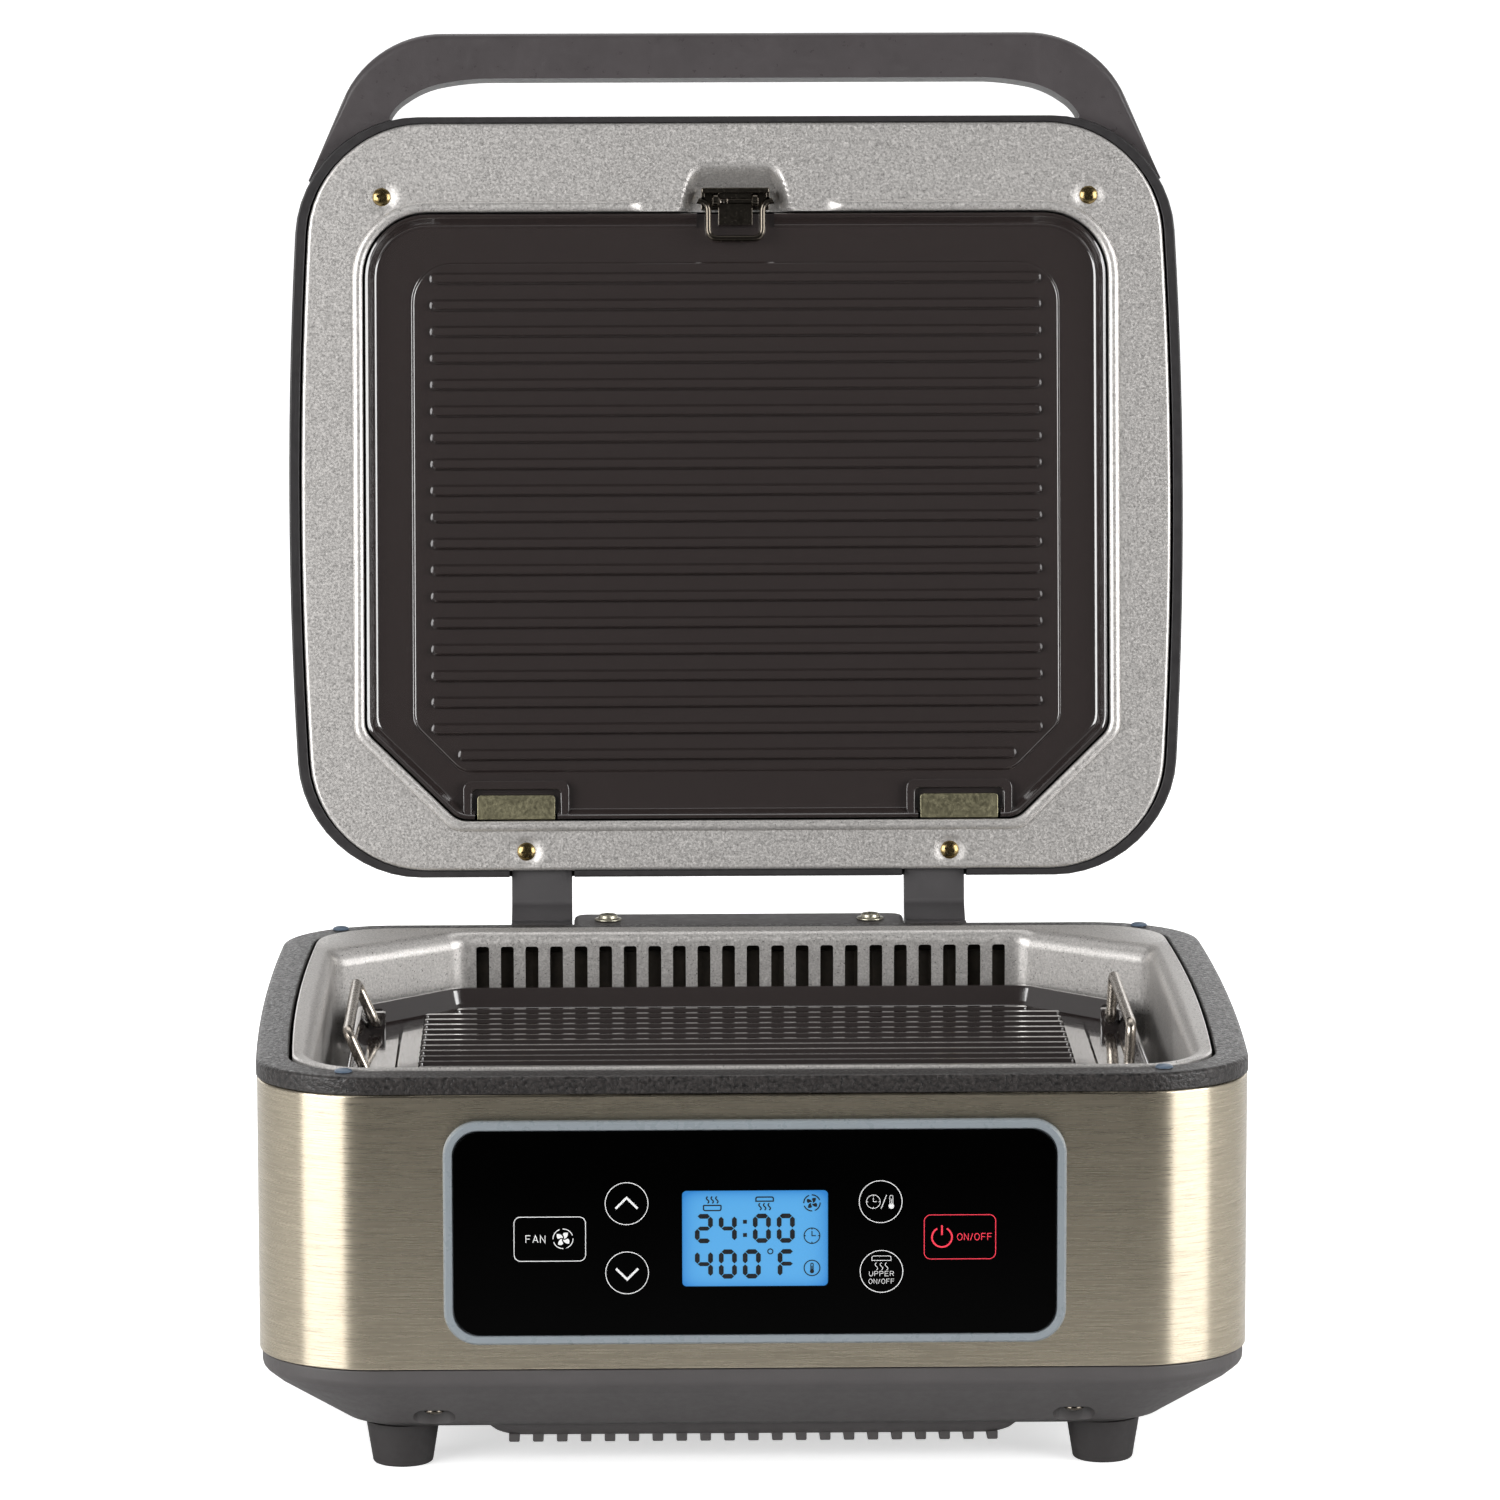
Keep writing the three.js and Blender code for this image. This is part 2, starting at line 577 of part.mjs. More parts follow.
function fanImpeller() {
  const { radius } = FAN;
  const disc = turned([[0, 42], [radius, 42], [radius, 43.6], [0, 43.6]], 0, 0, 24);
  const hub = bar(7, 41.2, 54, { sides: 12 });
  const bore = bar(1.85, 35, 60, { sides: 12 });
  const blade = box(30, radius - 1.5, -0.8, 0.8, 43, 56).rotate([0, 0, 28]).translate([6, -14, 0]);
  const blades = Array.from({ length: 12 }, (_, k) => blade.rotate([0, 0, 30 * k]));
  return cut(join(disc, hub, ...blades), bore).translate([FAN.x, FAN.y, 0]);
}

// Carries the air from behind the rear slots down and forwards over the fan.
function smokeDuct() {
  const upright = join(box(-109, 109, 136.8, 150.6, 98, 142.9), box(-92, 92, 136.8, 150.6, 64, 100));
  const top = box(-109, 109, 136.8, 143.2, 140, 146.6);
  const flat = box(-72, 72, -44, 145, 64, 80);
  const insideUpper = box(-107.6, 107.6, 138.2, 149.2, 99.4, 141.5);
  const insideLower = box(-90.6, 90.6, 138.2, 149.2, 65.4, 101);
  const insideTop = box(-107.6, 107.6, 138.2, 141.8, 140, 145.2);
  const insideFlat = box(-70.6, 70.6, -42.6, 140, 65.4, 78.6);
  const mouth = box(-105.5, 105.5, 136, 139, 113, 145.1);
  const outlet = bar(35, 60, 66, { x: FAN.x, y: FAN.y, sides: 24 });
  return cut(join(upright, top, flat), insideUpper, insideLower, insideTop, insideFlat, mouth, outlet);
}

// A pleated metal filter standing in the duct behind the slots.
function smokeFilter() {
  const pleats = 14;
  const half = 104;
  const y = 144.2;
  const front = Array.from({ length: 2 * pleats + 1 }, (_, k) =>
    new THREE.Vector2(-half + half * k / pleats, y - 2.6 + (k % 2) * 3.6));
  const back = front.map((p) => new THREE.Vector2(p.x, p.y + 1.1)).reverse();
  return slab([...front, ...back], 99.8, 141);
}

function temperatureSensor() {
  const profile = [[0, 110.8], [8, 110.8], [8, 112.4], [4.6, 112.4], [4.6, 117.4], [3.8, 118.2], [0, 118.2]];
  return turned(profile, 0, 112, 16);
}

function powerInlet() {
  const { x, z } = INLET;
  const face = (width, height, near, far, radius) => {
    const outline = rectangle(width / 2, -height / 2, height / 2, radius, 3);
    return slab(outline, -far, -near).rotate([90, 0, 0]).translate([x, 0, z]);
  };
  const flange = face(36, 27, 155.3, 157.6, 3);
  const body = face(28.4, 20.8, 136, 155.6, 2);
  const cavity = face(25, 17.4, 139, 160, 3);
  const pins = [[-7, -1.5], [0, 3], [7, -1.5]].map(([dx, dz]) =>
    box(x + dx - 1, x + dx + 1, 138.5, 152, z + dz - 2, z + dz + 2));
  return join(cut(join(flange, body), cavity), ...pins);
}

// ---------- hinge ----------
function hingeCover() {
  const ring = (inset, z) => [rectangle(65.5 - inset, 155.7, 187 - inset, 4, 3), z];
  const outer = loft([ring(6, 118), ring(0, 126), ring(0, 147.2), ring(1.2, 148.6)]);
  const inner = box(-63, 63, 150, 184.4, 110, 146.2);
  const shaftHole = bar(HINGE.shaft + 0.5, -70, 70, { y: HINGE.y, z: HINGE.z, along: 'x', sides: 12 });
  const holes = [-52, 52].map((x) => bar(2.2, 140, 150, { x, y: 170, sides: 8 }));
  const front = box(-66, 66, 150, 155.7, 110, 150);
  return cut(outer, inner, shaftHole, front, ...holes);
}

function hingeBracket() {
  const back = box(-61, 61, 155.5, 157.5, 121, 145.4);
  const ears = [-1, 1].map((side) => box(side * 47 - 3, side * 47 + 3, 156, 182, 132, 145.4));
  const bosses = [-52, 52].map((x) => box(x - 5, x + 5, 156, 176, 143.4, 145.4));
  const bore = bar(HINGE.shaft + 0.3, -70, 70, { y: HINGE.y, z: HINGE.z, along: 'x', sides: 16 });
  const holes = [-52, 52].map((x) => bar(2.2, 140, 150, { x, y: 170, sides: 8 }));
  return cut(join(back, ...ears, ...bosses), bore, ...holes);
}

// ---------- lid, drawn closed ----------
const lidZ = (w) => LID_PLANE + w;

function lidOutline(insetX, insetY = insetX, steps = 6) {
  const { halfWidth, front, rear, corner, crown } = LID;
  const radius = Math.max(8, corner - Math.min(insetX, insetY));
  return crownedRectangle(halfWidth - insetX, front + insetY, rear - insetY, radius, crown, steps);
}

function lidShell() {
  const ring = (inset, w) => [lidOutline(inset), lidZ(w)];
  const crest = [ring(2.4, 39), ring(7, 44), ring(15, LID.height)];
  const outer = loft([ring(0.5, 0), ring(0, 1.5), ring(0.4, 30), ...crest]);
  const inner = loft([ring(4.1, -1), ring(4.1, 28), ring(6, 37), ring(11, 41), ring(17, 42.8)]);
  const linerSeat = slab(lidOutline(LINER_EDGE.x - GAP, LINER_EDGE.y - GAP), lidZ(-1), lidZ(1.7));
  const recess = slab(lidOutline(24), lidZ(LID.height - 1.2), lidZ(LID.height + 1));
  const arms = [-1, 1].map((side) => {
    const middle = side * (ARM.inner + ARM.outer) / 2;
    return box(middle - 13, middle + 13, LID.rear - 6, LID.rear + 2, lidZ(-1), lidZ(11));
  });
  return cut(outer, inner, linerSeat, recess, ...arms);
}

function lidTopPanel() {
  const ring = (inset, w) => [lidOutline(24 + inset), lidZ(w)];
  return loft([ring(GAP, LID.height - 0.9), ring(GAP, LID.height), ring(1.1, LID.height + 0.5)]);
}

function lidLiner() {
  const edge = lidOutline(LINER_EDGE.x, LINER_EDGE.y);
  const flange = slab(edge, lidZ(0), lidZ(1.4));
  const ring = (outset, w) => [plateOutline(OPENING, -outset), lidZ(w)];
  const bead = loft([ring(1.4, -1.2), ring(3.2, -0.8), ring(4, 0.5)]);
  const skirt = slab(plateOutline(OPENING, -1.2), lidZ(0.5), lidZ(10));
  const opening = slab(plateOutline(OPENING), lidZ(-3), lidZ(12));
  const { halfWidth, front, sheet } = LATCH_POCKET;
  const wall = halfWidth + sheet;
  const pocketWall = box(-wall, wall, front - sheet, OPENING.front + 4, lidZ(0.2), lidZ(8));
  const pocket = box(-halfWidth, halfWidth, front, OPENING.front + 6, lidZ(-3), lidZ(6.6));
  const atScrews = (radius, low, high, sides) => Object.values(LID_SCREWS).map(([x, along]) =>
    bar(radius, lidZ(low), lidZ(high), { x, y: LID_REAR - along, sides }));
  const cups = atScrews(6, 0.3, 3.4, 10);
  const dimples = atScrews(4.8, -1, 1.9, 10);
  const holes = atScrews(2.1, 0, 5, 8);
  const clip = slab(edge, lidZ(-3), lidZ(12));
  const whole = join(flange, bead, skirt, pocketWall, ...cups).intersect(clip);
  return cut(whole, opening, pocket, ...dimples, ...holes);
}

function upperPlate() {
  const inset = 0.8;
  const body = slab(plateOutline(OPENING, inset), lidZ(1), lidZ(9.5));
  const ring = (extra, w) => [plateOutline(OPENING, inset + extra), lidZ(w)];
  const dish = loft([ring(1.2, 0.5), ring(4.4, 5)]);
  const field = loft([[plateOutline(FIELD, 0.8), lidZ(3.9)], [plateOutline(FIELD), lidZ(5.5)]]);
  const grid = ribs(18, RIB.upperHalf, lidZ(4.3), lidZ(1.2));
  const sides = [-1, 1];
  const middle = (TAB.inner + TAB.outer) / 2;
  const half = (TAB.outer - TAB.inner) / 2;
  const across = (side, extra) => [side * middle - half - extra, side * middle + half + extra];
  const { back } = OPENING;
  const beads = sides.map((side) => {
    const outside = shifted(rectangle(half + 5.6, back - 16, back - 1.2, 3, 3), side * middle);
    const inside = shifted(rectangle(half + 2.4, back - 12.8, back + 2, 2, 2), side * middle);
    return cut(slab(outside, lidZ(1.6), lidZ(5.5)), slab(inside, lidZ(0), lidZ(5)));
  });
  const through = sides.map((side) => box(...across(side, 1), back - 2.8, back + 1, lidZ(0), lidZ(10)));
  const seats = sides.map((side) => box(...across(side, 1), back - 11.4, back, lidZ(0), lidZ(5.4)));
  const catchSeat = box(-15.5, 15.5, OPENING.front, OPENING.front + 6.4, lidZ(0), lidZ(6.3));
  const whole = join(cut(body, dish), field, grid, ...beads);
  return cut(whole, ...through, ...seats, catchSeat);
}

function plateTab(side) {
  const middle = side * (TAB.inner + TAB.outer) / 2;
  const half = (TAB.outer - TAB.inner) / 2;
  const leaf = box(middle - half, middle + half, TAB.front, TAB.rear, lidZ(2.2), lidZ(3.8));
  const leg = box(middle - half, middle + half, TAB.rear - 1.6, TAB.rear, lidZ(3), lidZ(15));
  return join(leaf, leg);
}

function upperReflector() {
  const ring = (inset, w) => [plateOutline(OPENING, inset), lidZ(w)];
  const outer = loft([ring(3, 10.3), ring(3, 17), ring(6, 20)]);
  const inner = loft([ring(4.1, 9), ring(4.1, 16.6), ring(6.8, 18.9)]);
  const z = lidZ(HEATER.upperW);
  const leads = HEATER.leads.map((y) => bar(4, 140, 156, { y, z, along: 'x', sides: 8 }));
  return cut(outer, inner, ...leads);
}

function latchBracket() {
  const { y, z } = LATCH;
  const base = box(-15.6, 15.6, y - 4.2, y + 3.4, lidZ(4.6), lidZ(6));
  const ears = [-14.9, 14.9].map((x) => box(x - 0.7, x + 0.7, y - 4.2, y + 3.4, z - 2.6, lidZ(5)));
  const hood = box(-15.6, 15.6, y - 4.2, y - 2.8, z - 2.6, lidZ(5));
  const tongue = box(-6.8, 6.8, y + 3, y + 9.6, lidZ(4.7), lidZ(5.9));
  const drop = box(-6.8, 6.8, y + 8.4, y + 9.6, lidZ(2.6), lidZ(5.9));
  const bore = bar(LATCH.wire / 2 + 0.35, -20, 20, { y, z, along: 'x', sides: 8 });
  return cut(join(base, ...ears, hood, tongue, drop), bore);
}

function latchLever() {
  const { y, z, half, reach } = LATCH;
  const at = (x, dy) => new THREE.Vector3(x, y + dy, z);
  const end = 16.6;
  const route = [at(-end, 0), at(-half, 0), at(-half, reach), at(half, reach), at(half, 0), at(end, 0)];
  return wire(route, 3.4, LATCH.wire, { sides: 6, bendSteps: 3 });
}

function latchSpring() {
  const turns = 3;
  const steps = 8;
  const stops = Array.from({ length: turns * steps + 1 }, (_, k) => {
    const angle = 2 * Math.PI * k / steps;
    return new THREE.Vector3(-7 + k * 0.17, LATCH.y + 2 * Math.cos(angle), lidZ(2.3) + 1.6 * Math.sin(angle));
  });
  return sweep(stops, 0.35, 4);
}

// A cranked arm: a barrel on the shaft, a waist, and a leaf screwed inside the lid's rear edge.
function hingeArm(side) {
  const { y, z } = HINGE;
  const profile = rounded([
    [y + 7.4, z - 5, 5], [y + 7.4, z + 8, 0], [y - 2, z + 21.6, 4], [LID_REAR - 15, z + 21.6, 0],
    [LID_REAR - 15, z + 16, 0], [y - 14, z + 16, 3], [y - 7, z + 7, 0], [y - 7, z - 5, 5],
  ], 3);
  const low = side > 0 ? ARM.inner : -ARM.outer;
  const high = side > 0 ? ARM.outer : -ARM.inner;
  const plate = slab(profile, low, high).rotate([90, 0, 0]).rotate([0, 0, 90]);
  const bore = bar(HINGE.shaft + 0.3, low - 1, high + 1, { y, z, along: 'x', sides: 16 });
  const [x, along] = side > 0 ? LID_SCREWS.rear_right : LID_SCREWS.rear_left;
  const hole = bar(2.2, z + 10, z + 30, { x, y: LID_REAR - along, sides: 8 });
  return cut(plate, bore, hole);
}

// The grip: a wide bar in front of the lid whose arms wrap the lid's front corners.
function lidHandle() {
  const v = (along) => LID_REAR - along;
  const { low, high, root, tip, front, corner } = HANDLE;
  const points = rounded([
    [-root, v(275), 0], [-tip, v(front), corner], [tip, v(front), corner], [root, v(275), 0],
    [150, v(275), 0], [110, v(298), 0], [-110, v(298), 0], [-150, v(275), 0],
  ], 8);
  const ring = (inset, w) => [points.map((p) => handleInset(p, inset)), lidZ(w)];
  const body = loft([ring(2.4, low), ring(0, low + 3), ring(0, high - 5), ring(4, high)]);
  const right = FINGER_GAP.map(([x, along, radius]) => [x, v(along), radius]);
  const left = right.map(([x, y, radius]) => [-x, y, radius]);
  const gap = rounded([...left, ...right.reverse()], 16);
  const lidSpace = slab(lidOutline(-0.4), lidZ(-2), lidZ(high + 4));
  return cut(body, slab(gap, lidZ(-5), lidZ(50)), lidSpace);
}

// Draws the handle's outer edge in towards the lid without moving its root.
function handleInset(p, inset) {
  const reach = THREE.MathUtils.clamp((LID.front + 25 - p.y) / 50, 0, 1);
  return new THREE.Vector2(p.x * (1 - inset * reach / 175), p.y + inset * reach);
}

// ---------- assembly ----------
function buildBody(parent) {
  const look = MATERIALS;
  place(parent, 'base_tub', baseTub(), look.plastic);
  [-1, 1].forEach((sx) => [-1, 1].forEach((sy) => {
    const name = `foot_${sy < 0 ? 'front' : 'rear'}_${sx < 0 ? 'left' : 'right'}`;
    const { bottom, top, height } = FOOT;
    const profile = [[0, 0], [bottom - 0.9, 0], [bottom, 0.9], [top, height], [0, height]];
    place(parent, name, turned(profile, sx * FOOT.x, sy * FOOT.y, 20), look.rubber);
  }));
  place(parent, 'steel_wrap', steelWrap(), look.steel);
  place(parent, 'top_rim', topRim(), look.plastic);
  Object.entries(BUMPERS).forEach(([name, [x, y]]) => {
    const profile = [[0, RIM_TOP + GAP], [3.2, RIM_TOP + GAP], [2.7, RIM_TOP + 1.5], [0, RIM_TOP + 1.5]];
    place(parent, `lid_bumper_${name}`, turned(profile, x, y, 12), look.silicone);
  });
  place(parent, 'base_liner', baseLiner(), look.aluminium);
  place(parent, 'drip_tray', dripTray(), look.aluminium);
  place(parent, 'lower_grill_plate', lowerPlate(), look.nonstick);
  place(parent, 'lower_heating_element', heater(HEATER.z, 166, 112, -88, 88), look.element);
  place(parent, 'temperature_sensor', temperatureSensor(), look.plated);
  place(parent, 'plate_handle_left', bail(-1, BAIL_LEAN.left), look.plated);
  place(parent, 'plate_handle_right', bail(1, BAIL_LEAN.right), look.plated);
  BASE_SCREWS.forEach(([x, y], i) => {
    const solid = screw(x, y, 25 - GAP);
    place(parent, `base_screw_${i + 1}`, solid, look.plated);
  });
}

function buildControls(parent) {
  place(parent, 'control_bezel', controlBezel(), MATERIALS.bezel);
  place(parent, 'control_glass', controlGlass(), MATERIALS.glass);
  place(parent, 'lcd_module', lcdModule(), MATERIALS.lcd);
  place(parent, 'control_board', controlBoard(), MATERIALS.board);
  place(parent, 'power_board', powerBoard(), MATERIALS.board);
  place(parent, 'power_inlet', powerInlet(), MATERIALS.plastic);
}

function buildAir(parent) {
  place(parent, 'fan_shroud', fanShroud(), MATERIALS.plastic);
  place(parent, 'fan_motor', fanMotor(), MATERIALS.plated);
  place(parent, 'fan_impeller', fanImpeller(), MATERIALS.plastic);
  place(parent, 'smoke_duct', smokeDuct(), MATERIALS.aluminium);
  place(parent, 'smoke_filter', smokeFilter(), MATERIALS.plated);
}

function buildHinge(parent) {
  place(parent, 'hinge_cover', hingeCover(), MATERIALS.plastic);
  place(parent, 'hinge_bracket', hingeBracket(), MATERIALS.plated);
  const shaft = bar(HINGE.shaft, -92, 92, { y: HINGE.y, z: HINGE.z, along: 'x', sides: 16 });
  place(parent, 'hinge_shaft', shaft, MATERIALS.plated);
  [-52, 52].forEach((x) => {
    const shank = [[0, 142], [1.8, 142], [1.8, 148.9]];
    const profile = [...shank, [5.4, 148.9], [5.2, 149.7], [3.6, 149.9], [3.2, 151.4], [0, 151.6]];
    const side = x < 0 ? 'left' : 'right';
    place(parent, `hinge_cover_screw_${side}`, turned(profile, x, 170, 14), MATERIALS.plated);
  });
}

function buildLid(parent) {
  place(parent, 'lid_shell', lidShell(), MATERIALS.shell);
  place(parent, 'lid_top_panel', lidTopPanel(), MATERIALS.steel);
  place(parent, 'lid_handle', lidHandle(), MATERIALS.plastic);
  place(parent, 'lid_liner', lidLiner(), MATERIALS.aluminium);
  place(parent, 'upper_grill_plate', upperPlate(), MATERIALS.nonstick);
  place(parent, 'upper_heating_element', heater(lidZ(HEATER.upperW), 160, 108, -72, 86), MATERIALS.element);
  place(parent, 'upper_reflector', upperReflector(), MATERIALS.aluminium);
  place(parent, 'plate_tab_left', plateTab(-1), MATERIALS.plated);
  place(parent, 'plate_tab_right', plateTab(1), MATERIALS.plated);
  place(parent, 'latch_bracket', latchBracket(), MATERIALS.plated);
  place(parent, 'latch_lever', latchLever(), MATERIALS.plated);
  place(parent, 'latch_spring', latchSpring(), MATERIALS.plated);
  place(parent, 'hinge_arm_left', hingeArm(-1), MATERIALS.shell);
  place(parent, 'hinge_arm_right', hingeArm(1), MATERIALS.shell);
  Object.entries(LID_SCREWS).forEach(([name, [x, along]]) => {
    const solid = screw(x, LID_REAR - along, lidZ(1.9 - GAP));
    place(parent, `lid_screw_${name}`, solid, MATERIALS.plated);
  });
}

const grill = new THREE.Group();
grill.position.y = -ORIGIN_Y;
buildBody(grill);
buildControls(grill);
buildAir(grill);
buildHinge(grill);

const hinge = new THREE.Group();
hinge.position.set(0, HINGE.y, HINGE.z);
hinge.rotation.x = THREE.MathUtils.degToRad(-LID_OPEN);
const lid = new THREE.Group();
lid.position.set(0, -HINGE.y, -HINGE.z);
buildLid(lid);
hinge.add(lid);
grill.add(hinge);

export default grill;
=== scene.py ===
"""Electric contact grill with its lid open. Shapes are drawn in millimetres about the middle of the body,
the lid's as if it were closed, and piece() moves them into the shared frame in metres."""

import math

import bmesh
import bpy
import numpy as np
from mathutils import Matrix, Vector


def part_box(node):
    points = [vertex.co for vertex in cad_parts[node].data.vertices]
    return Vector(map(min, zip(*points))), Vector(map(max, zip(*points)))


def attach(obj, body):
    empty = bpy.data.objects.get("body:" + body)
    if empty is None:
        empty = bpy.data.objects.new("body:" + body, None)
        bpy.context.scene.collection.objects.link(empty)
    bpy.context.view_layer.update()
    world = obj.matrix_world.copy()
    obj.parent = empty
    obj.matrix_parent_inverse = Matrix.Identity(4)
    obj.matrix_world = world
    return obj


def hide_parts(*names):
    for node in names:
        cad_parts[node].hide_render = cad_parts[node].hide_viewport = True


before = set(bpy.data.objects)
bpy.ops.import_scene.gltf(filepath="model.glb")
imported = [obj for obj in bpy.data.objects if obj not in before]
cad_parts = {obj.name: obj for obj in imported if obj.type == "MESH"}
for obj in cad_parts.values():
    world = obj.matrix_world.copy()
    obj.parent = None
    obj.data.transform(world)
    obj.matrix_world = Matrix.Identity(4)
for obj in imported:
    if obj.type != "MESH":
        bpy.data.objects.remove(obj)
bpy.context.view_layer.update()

MM = 0.001
WRAP_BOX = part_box("steel_wrap")
SHAFT_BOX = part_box("hinge_shaft")
BODY_Y = (WRAP_BOX[0].y + WRAP_BOX[1].y) / 2 / MM      # the body's middle in the shared frame
HINGE_Y = (SHAFT_BOX[0].y + SHAFT_BOX[1].y) / 2 / MM - BODY_Y
HINGE_Z = (SHAFT_BOX[0].z + SHAFT_BOX[1].z) / 2 / MM
LID_OPEN = 98

HALF_WIDTH = 180.3
HALF_DEPTH = 155
CROWN = 3.8
CORNER = 40
RIM_TOP = 150
STEEL_LOW = 43.6
STEEL_HIGH = 143.2
BELLY = 16
WELL = dict(half=158, front=-138, back=135, corner=29, cut_x=48, cut_y=41)
WELL_FLOOR = 109
PLATE = dict(half=149, front=-131, back=128, corner=24, cut_x=37, cut_y=39)
LOWER_FIELD = dict(half=132, front=-118, back=109, corner=14, cut_x=20, cut_y=19)
PLATE_LOW = 118.5
PLATE_TOP = 123.2
RIB_PITCH = 10.57
LOWER_RIB_HALF = 123.6
UPPER_RIB_HALF = 122.2
SHORT_RIB_HALF = 111.6
RIB_HEIGHT = 2.9
BAIL = dict(x=141.2, front=-30, back=71, z=126, arm=18, wire=4, foot=9, bend=4.2)
BAIL_LEAN = dict(left=24, right=3)
LUG = dict(half=3.6, thick=4.6, gap=4.7)
PANEL_Z = 93.6
PANEL_FRONT = -158.3
LID_REAR = 147.5
LID_PLANE = 152
LID = dict(half=178.5, rear=151, front=-152.5, corner=46, crown=6, height=46)
LINER_EDGE = dict(x=5, y=2.8)
OPENING = dict(half=148.8, front=LID_REAR - 262, back=LID_REAR - 19, corner=26, cut_x=37, cut_y=36)
FIELD = dict(half=129.3, front=LID_REAR - 242, back=LID_REAR - 38.5, corner=16, cut_x=19, cut_y=19)
FIRST_RIB = LID_REAR - 55.8
SHORT_RIB = LID_REAR - 45.4
LATCH_Y = LID_REAR - 266
LATCH_Z = LID_PLANE - 0.8


# ---------- outlines ----------
def rounded(corners, steps=10, closed=True):
    """A path of (x, y, radius) corners with each radius drawn as an arc."""
    points = []
    for i, (x, y, radius) in enumerate(corners):
        here = Vector((x, y))
        at_end = not closed and i in (0, len(corners) - 1)
        if not radius or at_end:
            points.append((x, y))
            continue
        before = (Vector(corners[i - 1][:2]) - here).normalized()
        after = (Vector(corners[(i + 1) % len(corners)][:2]) - here).normalized()
        half = math.acos(max(-1, min(1, before.dot(after)))) / 2
        centre = here + (before + after).normalized() * radius / math.sin(half)
        start = math.atan2(*(here + before * radius / math.tan(half) - centre).yx)
        turn = math.copysign(math.pi - 2 * half, after.x * before.y - after.y * before.x)
        count = max(2, round(steps * abs(turn) / (math.pi / 2)))
        for k in range(count + 1):
            angle = start + turn * k / count
            points.append((centre.x + radius * math.cos(angle), centre.y + radius * math.sin(angle)))
    return points


def rectangle(half, front, back, radius, steps=10):
    return rounded([(-half, front, radius), (half, front, radius), (half, back, radius), (-half, back, radius)], steps)


def crowned(half, front, back, radius, crown, steps=12, sides=14):
    """A rounded rectangle whose two sides bow outwards by crown."""
    straight = half - crown
    points = rectangle(straight, front, back, radius, steps)
    quarter = len(points) // 4
    low, high = front + radius, back - radius
    side = [(straight, low + (high - low) * (k + 1) / sides) for k in range(sides - 1)]
    other = [(-x, y) for x, y in reversed(side)]
    points = points[:2 * quarter] + side + points[2 * quarter:] + other
    middle, depth = (front + back) / 2, (back - front) / 2
    return [(x * (1 + crown / straight * (1 - ((y - middle) / depth) ** 2)), y) for x, y in points]


def body_outline(inset, inset_y=None, steps=12):
    inset_y = inset if inset_y is None else inset_y
    radius = max(12, CORNER - min(inset, inset_y))
    return crowned(HALF_WIDTH - inset, inset_y - HALF_DEPTH, HALF_DEPTH - inset_y, radius, CROWN, steps)


def lid_outline(inset, inset_y=None):
    inset_y = inset if inset_y is None else inset_y
    radius = max(8, LID["corner"] - min(inset, inset_y))
    return crowned(LID["half"] - inset, LID["front"] + inset_y, LID["rear"] - inset_y, radius, LID["crown"])


def plate_outline(shape, inset=0, steps=10):
    """Round in front, cut off across the rear corners."""
    w = shape["half"] - inset
    low = shape["front"] + inset
    high = shape["back"] - inset
    radius = max(3, shape["corner"] - inset)
    x = w - shape["cut_x"] + inset * 0.55
    y = high - shape["cut_y"] + inset * 0.55
    return rounded([(-w, low, radius), (w, low, radius), (w, y, 9), (x, high, 9), (-x, high, 9), (-w, y, 9)], steps)


RAYS = 720


def by_angle(outline, centre=(0, 0), count=RAYS):
    """The outline's crossings with evenly turned rays, so that unlike outlines can be joined."""
    p = np.array(outline, float) - centre
    q = np.roll(p, -1, 0)
    angles = 2 * math.pi * (np.arange(count) + 0.5) / count
    d = np.stack([np.cos(angles), np.sin(angles)], 1)
    e = q - p
    cross = d[:, None, 0] * e[None, :, 1] - d[:, None, 1] * e[None, :, 0]
    cross = np.where(np.abs(cross) < 1e-12, 1e-12, cross)
    reach = (p[None, :, 0] * e[None, :, 1] - p[None, :, 1] * e[None, :, 0]) / cross
    along = (p[None, :, 0] * d[:, None, 1] - p[None, :, 1] * d[:, None, 0]) / cross
    hit = np.where((reach > 0) & (along >= -1e-9) & (along <= 1 + 1e-9), reach, -1).max(1)
    return d * hit[:, None] + centre


# ---------- solids ----------
def solid(verts, faces):
    mesh = bpy.data.meshes.new("solid")
    mesh.from_pydata([tuple(map(float, v)) for v in verts], [], faces)
    bm = bmesh.new()
    bm.from_mesh(mesh)
    bmesh.ops.remove_doubles(bm, verts=bm.verts, dist=1e-4)
    bmesh.ops.recalc_face_normals(bm, faces=bm.faces)
    bm.to_mesh(mesh)
    bm.free()
    obj = bpy.data.objects.new("solid", mesh)
    bpy.context.scene.collection.objects.link(obj)
    return obj


def loft(rings, cyclic=False):
    """A closed body through rings of (x, y, z) points: capped at both ends, or joined end to end."""
    n = len(rings[0])
    rows = len(rings)
    faces = []
    for r in range(rows if cyclic else rows - 1):
        a, b = r * n, (r + 1) % rows * n
        faces += [(a + i, a + (i + 1) % n, b + (i + 1) % n, b + i) for i in range(n)]
    if not cyclic:
        faces += [tuple(range(n - 1, -1, -1)), tuple(range((rows - 1) * n, rows * n))]
    return solid([p for ring in rings for p in ring], faces)


def stack(outline, path, cyclic=False):
    """Rings of outline(inset) at each (inset, z) of a path."""
    return loft([[(x, y, z) for x, y in outline(inset)] for inset, z in path], cyclic)


def slab(outline, low, high, edge=0):
    """A flat plate with its outline's upper and lower edges eased by a small bevel."""
    body = loft([[(x, y, z) for x, y in outline] for z in (low, high)])
    return eased(body, edge) if edge else body


